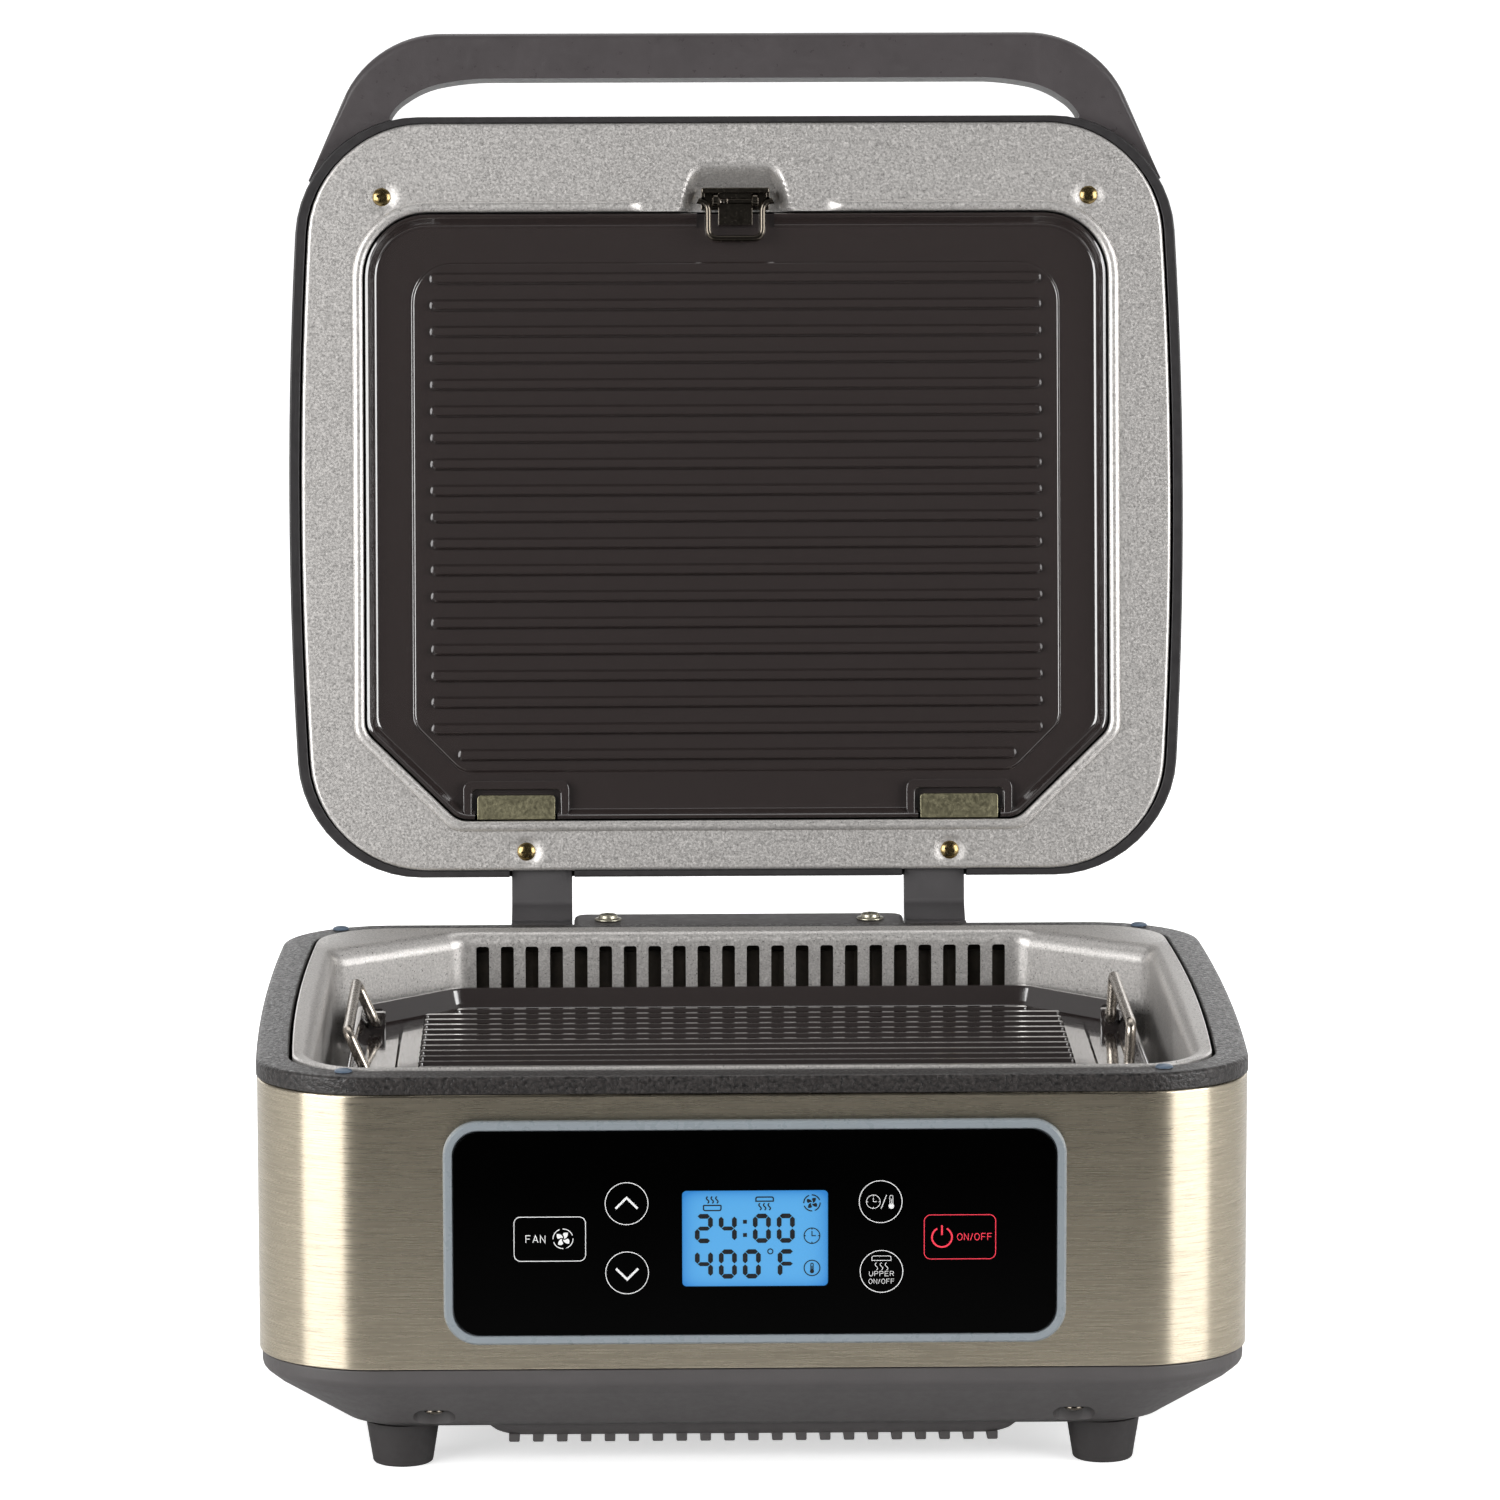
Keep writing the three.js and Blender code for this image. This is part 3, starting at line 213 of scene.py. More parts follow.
def box(x0, x1, y0, y1, z0, z1, edge=0, segments=2):
    corners = [(x, y, z) for z in (z0, z1) for x, y in ((x0, y0), (x1, y0), (x1, y1), (x0, y1))]
    faces = [(0, 3, 2, 1), (4, 5, 6, 7), (0, 1, 5, 4), (1, 2, 6, 5), (2, 3, 7, 6), (3, 0, 4, 7)]
    body = solid(corners, faces)
    return eased(body, edge, segments) if edge else body


def eased(obj, width, segments=2, angle=30):
    bevel = obj.modifiers.new("ease", "BEVEL")
    bevel.width, bevel.segments, bevel.limit_method = width, segments, "ANGLE"
    bevel.angle_limit = math.radians(angle)
    bevel.use_clamp_overlap = True
    return applied(obj)


def applied(obj):
    mesh = bpy.data.meshes.new_from_object(obj.evaluated_get(bpy.context.evaluated_depsgraph_get()))
    obj.modifiers.clear()
    obj.data = mesh
    return obj


def combine(obj, tools, operation):
    for tool in tools:
        step = obj.modifiers.new("combine", "BOOLEAN")
        step.operation, step.solver, step.object = operation, "MANIFOLD", tool
    applied(obj)
    for tool in tools:
        bpy.data.objects.remove(tool)
    return obj


def cut(obj, *tools):
    return combine(obj, tools, "DIFFERENCE")


def join(obj, *tools):
    return combine(obj, tools, "UNION")


def gather(parts):
    """Separate closed bodies in one mesh."""
    bm = bmesh.new()
    for part in parts:
        bm.from_mesh(part.data)
        bpy.data.objects.remove(part)
    mesh = bpy.data.meshes.new("gathered")
    bm.to_mesh(mesh)
    bm.free()
    obj = bpy.data.objects.new("gathered", mesh)
    bpy.context.scene.collection.objects.link(obj)
    return obj


def moved(obj, turn=(0, 0, 0), to=(0, 0, 0)):
    """Turns a solid by degrees about X, then Y, then Z, and moves it."""
    x, y, z = (math.radians(a) for a in turn)
    spin = Matrix.Rotation(z, 4, "Z") @ Matrix.Rotation(y, 4, "Y") @ Matrix.Rotation(x, 4, "X")
    obj.data.transform(Matrix.Translation(to) @ spin)
    return obj


def turned(profile, sides=48):
    """A lathed body on the Z axis from (radius, height) points, bottom first, both ends on the axis."""
    inner = [p for p in profile if p[0] > 1e-6]
    verts = [(r * math.cos(2 * math.pi * k / sides), r * math.sin(2 * math.pi * k / sides), z)
             for r, z in inner for k in range(sides)]
    faces = []
    for row in range(len(inner) - 1):
        a, b = row * sides, (row + 1) * sides
        faces += [(a + i, a + (i + 1) % sides, b + (i + 1) % sides, b + i) for i in range(sides)]
    last = (len(inner) - 1) * sides
    verts += [(0, 0, profile[0][1]), (0, 0, profile[-1][1])]
    low, high = len(verts) - 2, len(verts) - 1
    faces += [((i + 1) % sides, i, low) for i in range(sides)]
    faces += [(last + i, last + (i + 1) % sides, high) for i in range(sides)]
    return solid(verts, faces)


def tube(points, radius, bend=0.0, sides=20, bend_steps=8):
    """A round wire through points, its corners turned to arcs."""
    stops = [Vector(points[0])]
    for i in range(1, len(points) - 1):
        here = Vector(points[i])
        back = here + (Vector(points[i - 1]) - here).normalized() * bend
        on = here + (Vector(points[i + 1]) - here).normalized() * bend
        for k in range(bend_steps + 1):
            t = k / bend_steps
            stops.append(back * (1 - t) ** 2 + here * 2 * t * (1 - t) + on * t * t)
    stops.append(Vector(points[-1]))
    return swept(stops, radius, sides)


def swept(stops, radius, sides=12):
    normal = None
    rings = []
    for i, stop in enumerate(stops):
        tangent = (stops[min(i + 1, len(stops) - 1)] - stops[max(i - 1, 0)]).normalized()
        if normal is None:
            normal = tangent.orthogonal().normalized()
        normal = (normal - tangent * normal.dot(tangent)).normalized()
        side = tangent.cross(normal)
        rings.append([stop + radius * (normal * math.cos(a) + side * math.sin(a))
                      for a in (2 * math.pi * k / sides for k in range(sides))])
    return loft(rings)


# ---------- looks ----------
def srgb(r, g, b):
    def line(c):
        c /= 255
        return c / 12.92 if c <= 0.04045 else ((c + 0.055) / 1.055) ** 2.4
    return (line(r), line(g), line(b), 1.0)


class Look:
    """A Principled material with layers of procedural detail."""

    def __init__(self, name, color, roughness, metallic=0.0, **sockets):
        self.mat = bpy.data.materials.new(name)
        self.mat.use_nodes = True
        self.nodes = self.mat.node_tree.nodes
        self.links = self.mat.node_tree.links
        self.shader = self.nodes["Principled BSDF"]
        self.color, self.roughness = color, roughness
        self.set("Base Color", color)
        self.set("Roughness", roughness)
        self.set("Metallic", metallic)
        for key, value in sockets.items():
            self.set(key.replace("_", " "), value)
        self.place = self.nodes.new("ShaderNodeTexCoord").outputs["Object"]
        self.normal = None

    def set(self, socket, value):
        self.shader.inputs[socket].default_value = value

    def node(self, kind, **settings):
        made = self.nodes.new(kind)
        for key, value in settings.items():
            setattr(made, key, value)
        return made

    def noise(self, size, stretch=(1, 1, 1), detail=3.0, rough=0.55, distort=0.0):
        """Noise whose features are about size millimetres, longer along an axis where stretch is over 1."""
        mapping = self.node("ShaderNodeMapping")
        mapping.inputs["Scale"].default_value = tuple(1 / (size * MM * s) for s in stretch)
        self.links.new(self.place, mapping.inputs["Vector"])
        noise = self.node("ShaderNodeTexNoise")
        noise.inputs["Scale"].default_value = 1.0
        noise.inputs["Detail"].default_value = detail
        noise.inputs["Roughness"].default_value = rough
        noise.inputs["Distortion"].default_value = distort
        self.links.new(mapping.outputs["Vector"], noise.inputs["Vector"])
        return noise.outputs["Fac"]

    def spread(self, source, low, high, start=0.3, end=0.7):
        ranged = self.node("ShaderNodeMapRange")
        for key, value in (("From Min", start), ("From Max", end), ("To Min", low), ("To Max", high)):
            ranged.inputs[key].default_value = value
        self.links.new(source, ranged.inputs["Value"])
        return ranged.outputs["Result"]

    def tint(self, source, amount, other=None):
        """Varies the base colour between darker and lighter, or towards another colour."""
        mix = self.node("ShaderNodeMix", data_type="RGBA")
        dark = tuple(c * (1 - amount) for c in self.color[:3]) + (1,)
        light = other or tuple(min(1, c * (1 + amount)) for c in self.color[:3]) + (1,)
        mix.inputs["A"].default_value = dark
        mix.inputs["B"].default_value = light
        self.links.new(self.spread(source, 0, 1), mix.inputs["Factor"])
        self.links.new(mix.outputs["Result"], self.shader.inputs["Base Color"])
        return self

    def vary(self, source, amount):
        low, high = max(0.02, self.roughness - amount), min(1, self.roughness + amount)
        self.links.new(self.spread(source, low, high), self.shader.inputs["Roughness"])
        return self

    def bump(self, source, height, strength=1.0):
        """Raises the surface by height millimetres where source is 1."""
        bump = self.node("ShaderNodeBump")
        bump.inputs["Strength"].default_value = strength
        bump.inputs["Distance"].default_value = height * MM
        self.links.new(source, bump.inputs["Height"])
        if self.normal:
            self.links.new(self.normal, bump.inputs["Normal"])
        self.normal = bump.outputs["Normal"]
        self.links.new(self.normal, self.shader.inputs["Normal"])
        return self


def moulded(name, color, roughness, grain=0.6, height=0.05, variation=0.08):
    look = Look(name, color, roughness)
    return look.tint(look.noise(18), variation).vary(look.noise(3), 0.06).bump(look.noise(grain, detail=2), height)


def metal(name, color, roughness, size=6, variation=0.1, height=0.01, metallic=1.0):
    look = Look(name, color, roughness, metallic)
    return look.tint(look.noise(size), variation).vary(look.noise(size / 3), 0.08).bump(look.noise(0.8), height)


def brushed(name, color, roughness, anisotropy):
    """Sheet brushed round the body: streaks that are long sideways and fine upwards."""
    look = Look(name, color, roughness, 1.0)
    look.set("Anisotropic", anisotropy)
    look.set("Anisotropic Rotation", 0.25)
    tangent = look.node("ShaderNodeTangent", direction_type="RADIAL", axis="Z")
    look.links.new(tangent.outputs["Tangent"], look.shader.inputs["Tangent"])
    streaks = look.noise(0.55, (45, 45, 1), detail=4, rough=0.7)
    look.tint(streaks, 0.13).vary(look.noise(0.5, (30, 30, 1)), 0.07)
    return look.bump(streaks, 0.012, 0.6)


LOOKS = {
    "body_plastic": moulded("body_plastic", srgb(66, 63, 63), 0.5, grain=0.7, height=0.06),
    "foot_rubber": moulded("foot_rubber", srgb(38, 35, 35), 0.72, grain=0.5, height=0.03),
    "brushed_steel": brushed("brushed_steel", srgb(186, 176, 157), 0.29, 0.95),
    "lid_steel": brushed("lid_steel", srgb(190, 178, 156), 0.34, 0.6),
    "bumper_silicone": moulded("bumper_silicone", srgb(74, 88, 104), 0.4, grain=0.4, height=0.01),
    "wire_steel": metal("wire_steel", srgb(168, 160, 150), 0.26, size=3),
    "plated_steel": metal("plated_steel", srgb(170, 166, 150), 0.34, size=8),
    "tab_steel": metal("tab_steel", srgb(150, 145, 118), 0.38, size=4, variation=0.16),
    "latch_steel": metal("latch_steel", srgb(92, 86, 78), 0.2, size=3, variation=0.08),
    # the smoke duct and filter colour is partly their own dark finish and partly painted shade for the liner slots in
    # front of them
    "smoke_black_slot_shade": metal("smoke_black_slot_shade", srgb(34, 28, 20), 0.6, size=5, variation=0.3, metallic=0.6),
    "screw_steel": metal("screw_steel", srgb(140, 122, 84), 0.22, size=1.2, variation=0.25),
    "heater_sheath": metal("heater_sheath", srgb(92, 84, 78), 0.55, size=10, variation=0.25, metallic=0.8),
    "bezel_grey": moulded("bezel_grey", srgb(122, 129, 134), 0.3, grain=0.3, height=0.006, variation=0.03),
    "inlet_plastic": moulded("inlet_plastic", srgb(30, 29, 30), 0.38, grain=0.5, height=0.02),
    "fan_plastic": moulded("fan_plastic", srgb(52, 50, 52), 0.5, grain=0.6, height=0.02),
    "lid_plastic": moulded("lid_plastic", srgb(34, 32, 33), 0.42, grain=0.6, height=0.04),
    "handle_plastic": moulded("handle_plastic", srgb(66, 62, 63), 0.33, grain=0.7, height=0.03),
    "hinge_arm_paint": moulded("hinge_arm_paint", srgb(58, 56, 57), 0.5, grain=0.9, height=0.05),
    "circuit_board": moulded("circuit_board", srgb(28, 92, 52), 0.45, grain=1.2, height=0.01, variation=0.2),
    "panel_print": moulded("panel_print", srgb(212, 212, 212), 0.5, grain=0.2, height=0.002, variation=0.02),
    "panel_red": moulded("panel_red", srgb(228, 48, 70), 0.5, grain=0.2, height=0.002, variation=0.02),
    "lcd_ink": moulded("lcd_ink", srgb(4, 9, 16), 0.4, grain=0.2, height=0.002, variation=0.05),
}


def liner_look():
    """Satin stamped aluminium with a fine sparkle."""
    look = Look("liner_aluminium", srgb(192, 189, 186), 0.4, 0.7)
    sparkle = look.noise(0.8, detail=2, rough=0.6)
    look.tint(sparkle, 0.22).vary(look.noise(0.9, detail=4), 0.16)
    return look.bump(sparkle, 0.03, 0.5).bump(look.noise(14, detail=2), 0.04, 0.5)


def nonstick_look():
    """Cast plate under a dark semi-gloss coating with a faint fleck."""
    look = Look("nonstick", srgb(42, 36, 35), 0.12, 0.0, Specular_IOR_Level=1.0, Coat_Weight=0.8, Coat_Roughness=0.05)
    fleck = look.noise(0.45, detail=4, rough=0.7)
    look.tint(fleck, 0.14).vary(look.noise(5, detail=4), 0.05)
    return look.bump(fleck, 0.01, 0.5).bump(look.noise(9), 0.02, 0.6)


def glass_look():
    look = Look("panel_glass", srgb(1, 1, 1), 0.06, 0.0, Specular_IOR_Level=0.04)
    return look.tint(look.noise(30), 0.2).vary(look.noise(40), 0.02)


def lcd_look():
    """Backlit display: pale blue in the middle, deeper towards its edges."""
    look = Look("lcd_blue", srgb(20, 60, 110), 0.16)
    low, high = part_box("lcd_module")
    middle = (low + high) / 2
    mapping = look.node("ShaderNodeMapping")
    mapping.inputs["Location"].default_value = (-middle.x / 0.0265, 0, -middle.z / 0.0178)
    mapping.inputs["Scale"].default_value = (1 / 0.0265, 0, 1 / 0.0178)
    look.links.new(look.place, mapping.inputs["Vector"])
    split = look.node("ShaderNodeSeparateXYZ")
    look.links.new(mapping.outputs["Vector"], split.inputs["Vector"])
    edges = []
    for axis in ("X", "Z"):
        power = look.node("ShaderNodeMath", operation="POWER")
        size = look.node("ShaderNodeMath", operation="ABSOLUTE")
        look.links.new(split.outputs[axis], size.inputs[0])
        look.links.new(size.outputs[0], power.inputs[0])
        power.inputs[1].default_value = 9.0
        edges.append(power.outputs[0])
    both = look.node("ShaderNodeMath", operation="ADD", use_clamp=True)
    look.links.new(edges[0], both.inputs[0])
    look.links.new(edges[1], both.inputs[1])
    glow = look.node("ShaderNodeMix", data_type="RGBA")
    glow.inputs["A"].default_value = srgb(97, 178, 225)
    glow.inputs["B"].default_value = srgb(48, 128, 192)
    look.links.new(both.outputs[0], glow.inputs["Factor"])
    look.links.new(glow.outputs["Result"], look.shader.inputs["Emission Color"])
    look.set("Emission Strength", 0.8)
    return look.vary(look.noise(6), 0.03)


def grained_look():
    """Dark plastic with a coarse, sparkling grain."""
    look = Look("rim_plastic", srgb(35, 32, 31), 0.42, 0.0, Specular_IOR_Level=0.4)
    grain = look.noise(1.5, detail=2, rough=0.6)
    return look.tint(grain, 0.95).vary(look.noise(1.3), 0.14).bump(grain, 0.5)


LOOKS.update(rim_plastic=grained_look(), liner_aluminium=liner_look(), nonstick=nonstick_look(), panel_glass=glass_look(), lcd_blue=lcd_look())


# ---------- pieces ----------
def piece(obj, name, body, look, nodes=(), lid=False, sharp=32):
    """Puts a finished solid into the shared frame as a piece on a body, standing for CAD nodes."""
    obj.name = obj.data.name = name
    into = Matrix.Scale(MM, 4) @ Matrix.Translation((0, BODY_Y, 0))
    if lid:
        hinge = Vector((0, HINGE_Y, HINGE_Z))
        swing = Matrix.Rotation(math.radians(-LID_OPEN), 4, "X")
        into = into @ Matrix.Translation(hinge) @ swing @ Matrix.Translation(-hinge)
    mesh = obj.data
    mesh.transform(into)
    mesh.polygons.foreach_set("use_smooth", [True] * len(mesh.polygons))
    mesh.set_sharp_from_angle(angle=math.radians(sharp))
    mesh.materials.clear()
    mesh.materials.append(LOOKS[look].mat)
    weigh = obj.modifiers.new("weigh", "WEIGHTED_NORMAL")
    weigh.keep_sharp = True
    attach(obj, body)
    if nodes:
        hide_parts(*nodes)
    return obj


def phillips(head, shank, length, dome=1.5):
    """A cross-recessed pan head screw, its head's flat side at Z = 0 and facing +Z."""
    rise = [(head * math.cos(a), 0.5 + dome * math.sin(a)) for a in (math.pi / 2 * k / 8 for k in range(9))]
    body = turned([(0, -length), (shank * 0.6, -length), (shank, -length + 1), (shank, 0), (head * 0.96, 0), *rise[:-1],
                   (0, 0.5 + dome)], 32)
    arm, wide, deep = head * 0.56, head * 0.13, dome * 0.85
    cross = [box(-arm, arm, -wide, wide, 0.5 + dome - deep, 4), box(-wide, wide, -arm, arm, 0.5 + dome - deep, 4)]
    return cut(body, *cross)


def base_tub():
    table_x, table_y = (0.9, 6, 31, 38), (0.9, 5, 24, 30)

    def outline(inset):
        return body_outline(inset, float(np.interp(inset, table_x, table_y)))

    outer = rounded([(38, BELLY, 0), (31, 18.4, 6), (6, 33.5, 9), (0.9, 37.6, 4), (0.9, 43.2, 0.6), (3, 43.2, 0)],
                    closed=False)
    inner = [(4, 43.2), (4, 38), (8.6, 36.4), (31, 21.2), (38, 18.8)]
    tub = stack(outline, outer + inner)
    front, back = -120, 97
    belly = loft([[(x, y, z) for x, y in rectangle(94 + flare, front - flare, back + flare, 11)] for flare, z in
                  ((-1, 11), (0, 11.6), (2.4, 14), (4, BELLY + 1))])
    nubs = [box(k * 8.65 - 1.95, k * 8.65 + 1.95, front, back, 8.4, 11.6, 0.5) for k in range(-10, 11)]
    hollow = slab(rectangle(91.5, front + 2.5, back - 2.5, 8), 13.4, 20)
    vents = [box((k - 4.5) * 8.65 - 2.1, (k - 4.5) * 8.65 + 2.1, -22, 62, 10, 15) for k in range(10)]
    screws = ((-115, -135), (115, -135), (-115, 126), (115, 126))
    boss = [combine(slab([(x + 10.2 * math.cos(a), y + 8.2 * math.sin(a)) for a in np.linspace(0, 2 * math.pi, 33)[:-1]],
                         19, 30), [stack(outline, outer)], "INTERSECT") for x, y in screws]
    pockets = [slab([(x + 7.6 * math.cos(a), y + 5.6 * math.sin(a)) for a in np.linspace(0, 2 * math.pi, 41)[:-1]],
                    10, 25) for x, y in screws]
    holes = [moved(turned([(0, 20), (2.2, 20), (2.2, 40), (0, 40)], 24), to=(x, y, 0)) for x, y in screws]
    whole = join(cut(join(tub, belly), hollow), *boss, gather(nubs))
    piece(cut(whole, gather(vents), *pockets, *holes), "base_tub_shell", "base", "body_plastic", ["base_tub"])
    for i, (x, y) in enumerate(screws):
        screw = moved(phillips(3.75, 1.7, 12), turn=(180, 0, 25 + 40 * i), to=(x, y, 24.7))
        piece(screw, f"base_screw_head_{i + 1}", "base", "latch_steel", [f"base_screw_{i + 1}"])


def feet():
    for side, x in (("left", -126.9), ("right", 126.9)):
        for end, y in (("front", -112), ("rear", 112)):
            profile = rounded([(0, 0.5, 0), (8.8, 0.5, 0.4), (9.2, 0, 0.3), (10.8, 0, 1.1), (13.3, 15.7, 0.3),
                               (0, 15.7, 0)], 6, closed=False)
            piece(moved(turned(profile), to=(x, y, 0)), f"rubber_foot_{end}_{side}", "base", "foot_rubber",
                  [f"foot_{end}_{side}"])


def steel_wrap():
    path = rounded([(0, STEEL_LOW, 0.5), (0, STEEL_HIGH, 0.9), (1.2, STEEL_HIGH, 0.2), (1.2, STEEL_LOW, 0.2)], 4)
    wrap = stack(lambda inset: body_outline(inset, steps=28), path, cyclic=True)
    window = box(-104, 104, -160, -150, PANEL_Z - 34, PANEL_Z + 34)
    socket = box(103.4, 132.6, 150, 160, 59.2, 80.8)
    piece(cut(wrap, window, socket), "steel_band", "base", "brushed_steel", ["steel_wrap"])


def top_rim():
    path = rounded([(-0.3, 143.5, 0.5), (-0.3, RIM_TOP, 1.6), (11.3, RIM_TOP, 0.7), (11.3, 144.9, 0.3), (3.6, 144.9, 0),
                    (3.6, 137, 0), (1.6, 137, 0), (1.6, 143.5, 0)], 6)
    rim = stack(lambda inset: body_outline(inset, steps=20), path, cyclic=True)
    piece(rim, "rim_moulding", "base", "rim_plastic", ["top_rim"])
    bumpers = {"front_left": (-146, -145.5), "front_right": (146, -145.5), "rear_left": (-157, 144.5),
               "rear_right": (157, 144.5)}
    for name, (x, y) in bumpers.items():
        profile = [(0, 0.2), (3.2, 0.2), (3.2, 0.5)] + [
            (3.1 * math.cos(a), 0.5 + math.sin(a)) for a in (math.pi / 2 * k / 8 for k in range(1, 8))] + [(0, 1.5)]
        piece(moved(turned(profile, 32), to=(x, y, RIM_TOP)), f"silicone_bumper_{name}", "base", "bumper_silicone",
              [f"lid_bumper_{name}"])


def base_liner():
    outer = by_angle(body_outline(12.5))
    well = by_angle(plate_outline(WELL))
    wall = by_angle(plate_outline(WELL, -1.3))
    edge = by_angle(rectangle(122, -100, 98, 14))
    floor = by_angle(plate_outline(WELL, 6))
    rings = [np.column_stack([outer, np.full(RAYS, 147.6)]), np.column_stack([outer, np.full(RAYS, 150.2)])]
    span = np.linalg.norm(outer - well, axis=1)[:, None]
    shoulder = np.minimum(7, span * 0.55)
    toward = (outer - well) / span

    def at(base, offset, z):
        return np.column_stack([base + toward * offset, np.full(RAYS, z)])

    rings.append(at(outer, -0.6, 150.9))
    rings += [np.column_stack([(outer - toward * 0.5) * (1 - f) + (well + toward * shoulder) * f,
                               np.full(RAYS, 150.9 - 0.6 * f)]) for f in (0.5, 1.0)]
    for k in range(1, 9):
        a = math.pi / 2 * k / 8
        ring = well + toward * shoulder * (1 - math.sin(a))
        rings.append(np.column_stack([ring, 150.3 - shoulder[:, 0] * (1 - math.cos(a))]))
    rings += [at(well, 0, 130), at(well, 0, 117)]
    for k in range(1, 7):
        a = math.pi / 2 * k / 6
        f = 1 - math.cos(a)
        rings.append(np.column_stack([well * (1 - f) + floor * f, np.full(RAYS, 117 - 6.7 * math.sin(a))]))
    rings += [np.column_stack([edge, np.full(RAYS, z)]) for z in (110.3, WELL_FLOOR)]
    rings += [np.column_stack([wall, np.full(RAYS, WELL_FLOOR)]), np.column_stack([wall, np.full(RAYS, 140.0)])]
    rings += [at(wall, 1.4, 144.6), np.column_stack([wall * 0.4 + outer * 0.6, np.full(RAYS, 147.3)])]
    liner = loft([[tuple(p) for p in ring] for ring in rings], cyclic=True)
    slots = [box(x - 2.53, x + 2.53, 131, 140, 119, 144.6, 1.0, 3) for x in ((k - 10.5) * 9.64 for k in range(22))]
    leads = [moved(turned([(0, 150), (3.9, 150), (3.9, 164), (0, 164)], 24), turn=(0, 90, 0), to=(0, y, 114.4))
             for y in (-12, 12)]
    piece(cut(liner, gather(slots), *leads), "well_liner", "base", "liner_aluminium", ["base_liner"])


def rib(y, half, foot, crest):
    """One grill rib along X: flared foot, sloping flanks, rounded crest and round ends."""
    height = crest - foot
    profile = [(2.5, 0), (2.5, 0.12), (2.2, 0.3), (1.95, 0.62), (1.75, 0.86), (1.45, 0.97), (1.0, 1.0)]
    rings = []
    for width, f in profile:
        ring = []
        for sign in (1, -1):
            for k in range(13):
                a = math.pi * (k / 12 - 0.5) + (0 if sign > 0 else math.pi)
                ring.append((sign * (half - 2.5) + width * math.cos(a), y + width * math.sin(a), foot + height * f))
        rings.append(ring)
    return loft(rings)


def ribs(count, half, foot, crest):
    grid = [rib(FIRST_RIB - k * RIB_PITCH, half, foot, crest) for k in range(count)]
    return gather(grid + [rib(SHORT_RIB, SHORT_RIB_HALF, foot, crest)])


def lower_plate():
    n = RAYS
    out = by_angle(plate_outline(PLATE))

    def ring(inset, z):
        return np.column_stack([by_angle(plate_outline(PLATE, inset)), np.full(n, z)])

    def inner(inset, z):
        return np.column_stack([by_angle(plate_outline(LOWER_FIELD, inset)), np.full(n, z)])

    rings = [inner(2, PLATE_LOW), ring(1.2, PLATE_LOW), ring(0.3, PLATE_LOW + 0.4), np.column_stack([out, np.full(n, 120.0)])]
    rings += [np.column_stack([out, np.full(n, 129.2)]), ring(0.4, 129.8), ring(1.2, 130), ring(2.0, 129.8),
              ring(2.6, 129.1), ring(4.2, 124.2), ring(5.2, 122.7), ring(6.4, 122.2)]
    rings += [inner(-0.4, 122.2), inner(0, 122.35), inner(0.7, 123.05), inner(1.2, PLATE_TOP), inner(9, PLATE_TOP)]
    plate = loft([[tuple(p) for p in r] for r in rings])
    top = PLATE_TOP + RIB_HEIGHT
    half, thick = LUG["half"], LUG["thick"]
    lugs = [box(x - half, x + half, y, y + thick, PLATE_TOP - 2, BAIL["z"] + half, 0.6)
            for x in (-BAIL["x"], BAIL["x"]) for y in (BAIL["front"] - LUG["gap"] - thick, BAIL["back"] + LUG["gap"])]
    reach = BAIL["wire"] / 2 + 0.35
    bores = [moved(turned([(0, -60), (reach, -60), (reach, 100), (0, 100)], 24), turn=(-90, 0, 0), to=(x, 0, BAIL["z"]))
             for x in (-BAIL["x"], BAIL["x"])]
    drains = [box(s * 139 - 2.6, s * 139 + 2.6, -22, -8, 115, 126, 1.5, 3) for s in (-1, 1)]
    whole = join(plate, ribs(20, LOWER_RIB_HALF, PLATE_TOP - 0.3, top), *lugs)
    piece(cut(whole, *bores, *drains), "lower_plate_casting", "base", "nonstick", ["lower_grill_plate"])


def wire_handles():
    for name, side in (("left", -1), ("right", 1)):
        lean = math.radians(BAIL_LEAN[name])
        up = Vector((side * math.sin(lean), 0, math.cos(lean))) * BAIL["arm"]

        def pivot(y):
            return Vector((side * BAIL["x"], y, BAIL["z"]))

        front, back, foot = BAIL["front"], BAIL["back"], BAIL["foot"]
        route = [pivot(front - foot), pivot(front), pivot(front) + up, pivot(back) + up, pivot(back), pivot(back + foot)]
        piece(tube(route, BAIL["wire"] / 2, BAIL["bend"]), f"wire_handle_{name}", f"plate_wire_{name}", "wire_steel",
              [f"plate_handle_{name}"])


# ---------- control panel ----------
def upright(obj):
    """Turns a shape drawn flat about the panel's middle into the front face, its +Z side forwards."""
    return moved(obj, turn=(90, 0, 0), to=(0, 0, PANEL_Z))


def panel_ring(width, height, radius, inset, depth):
    outline = rectangle(width / 2 - inset, inset - height / 2, height / 2 - inset, max(1, radius - inset), 14)
    return [(x, y, depth) for x, y in outline]


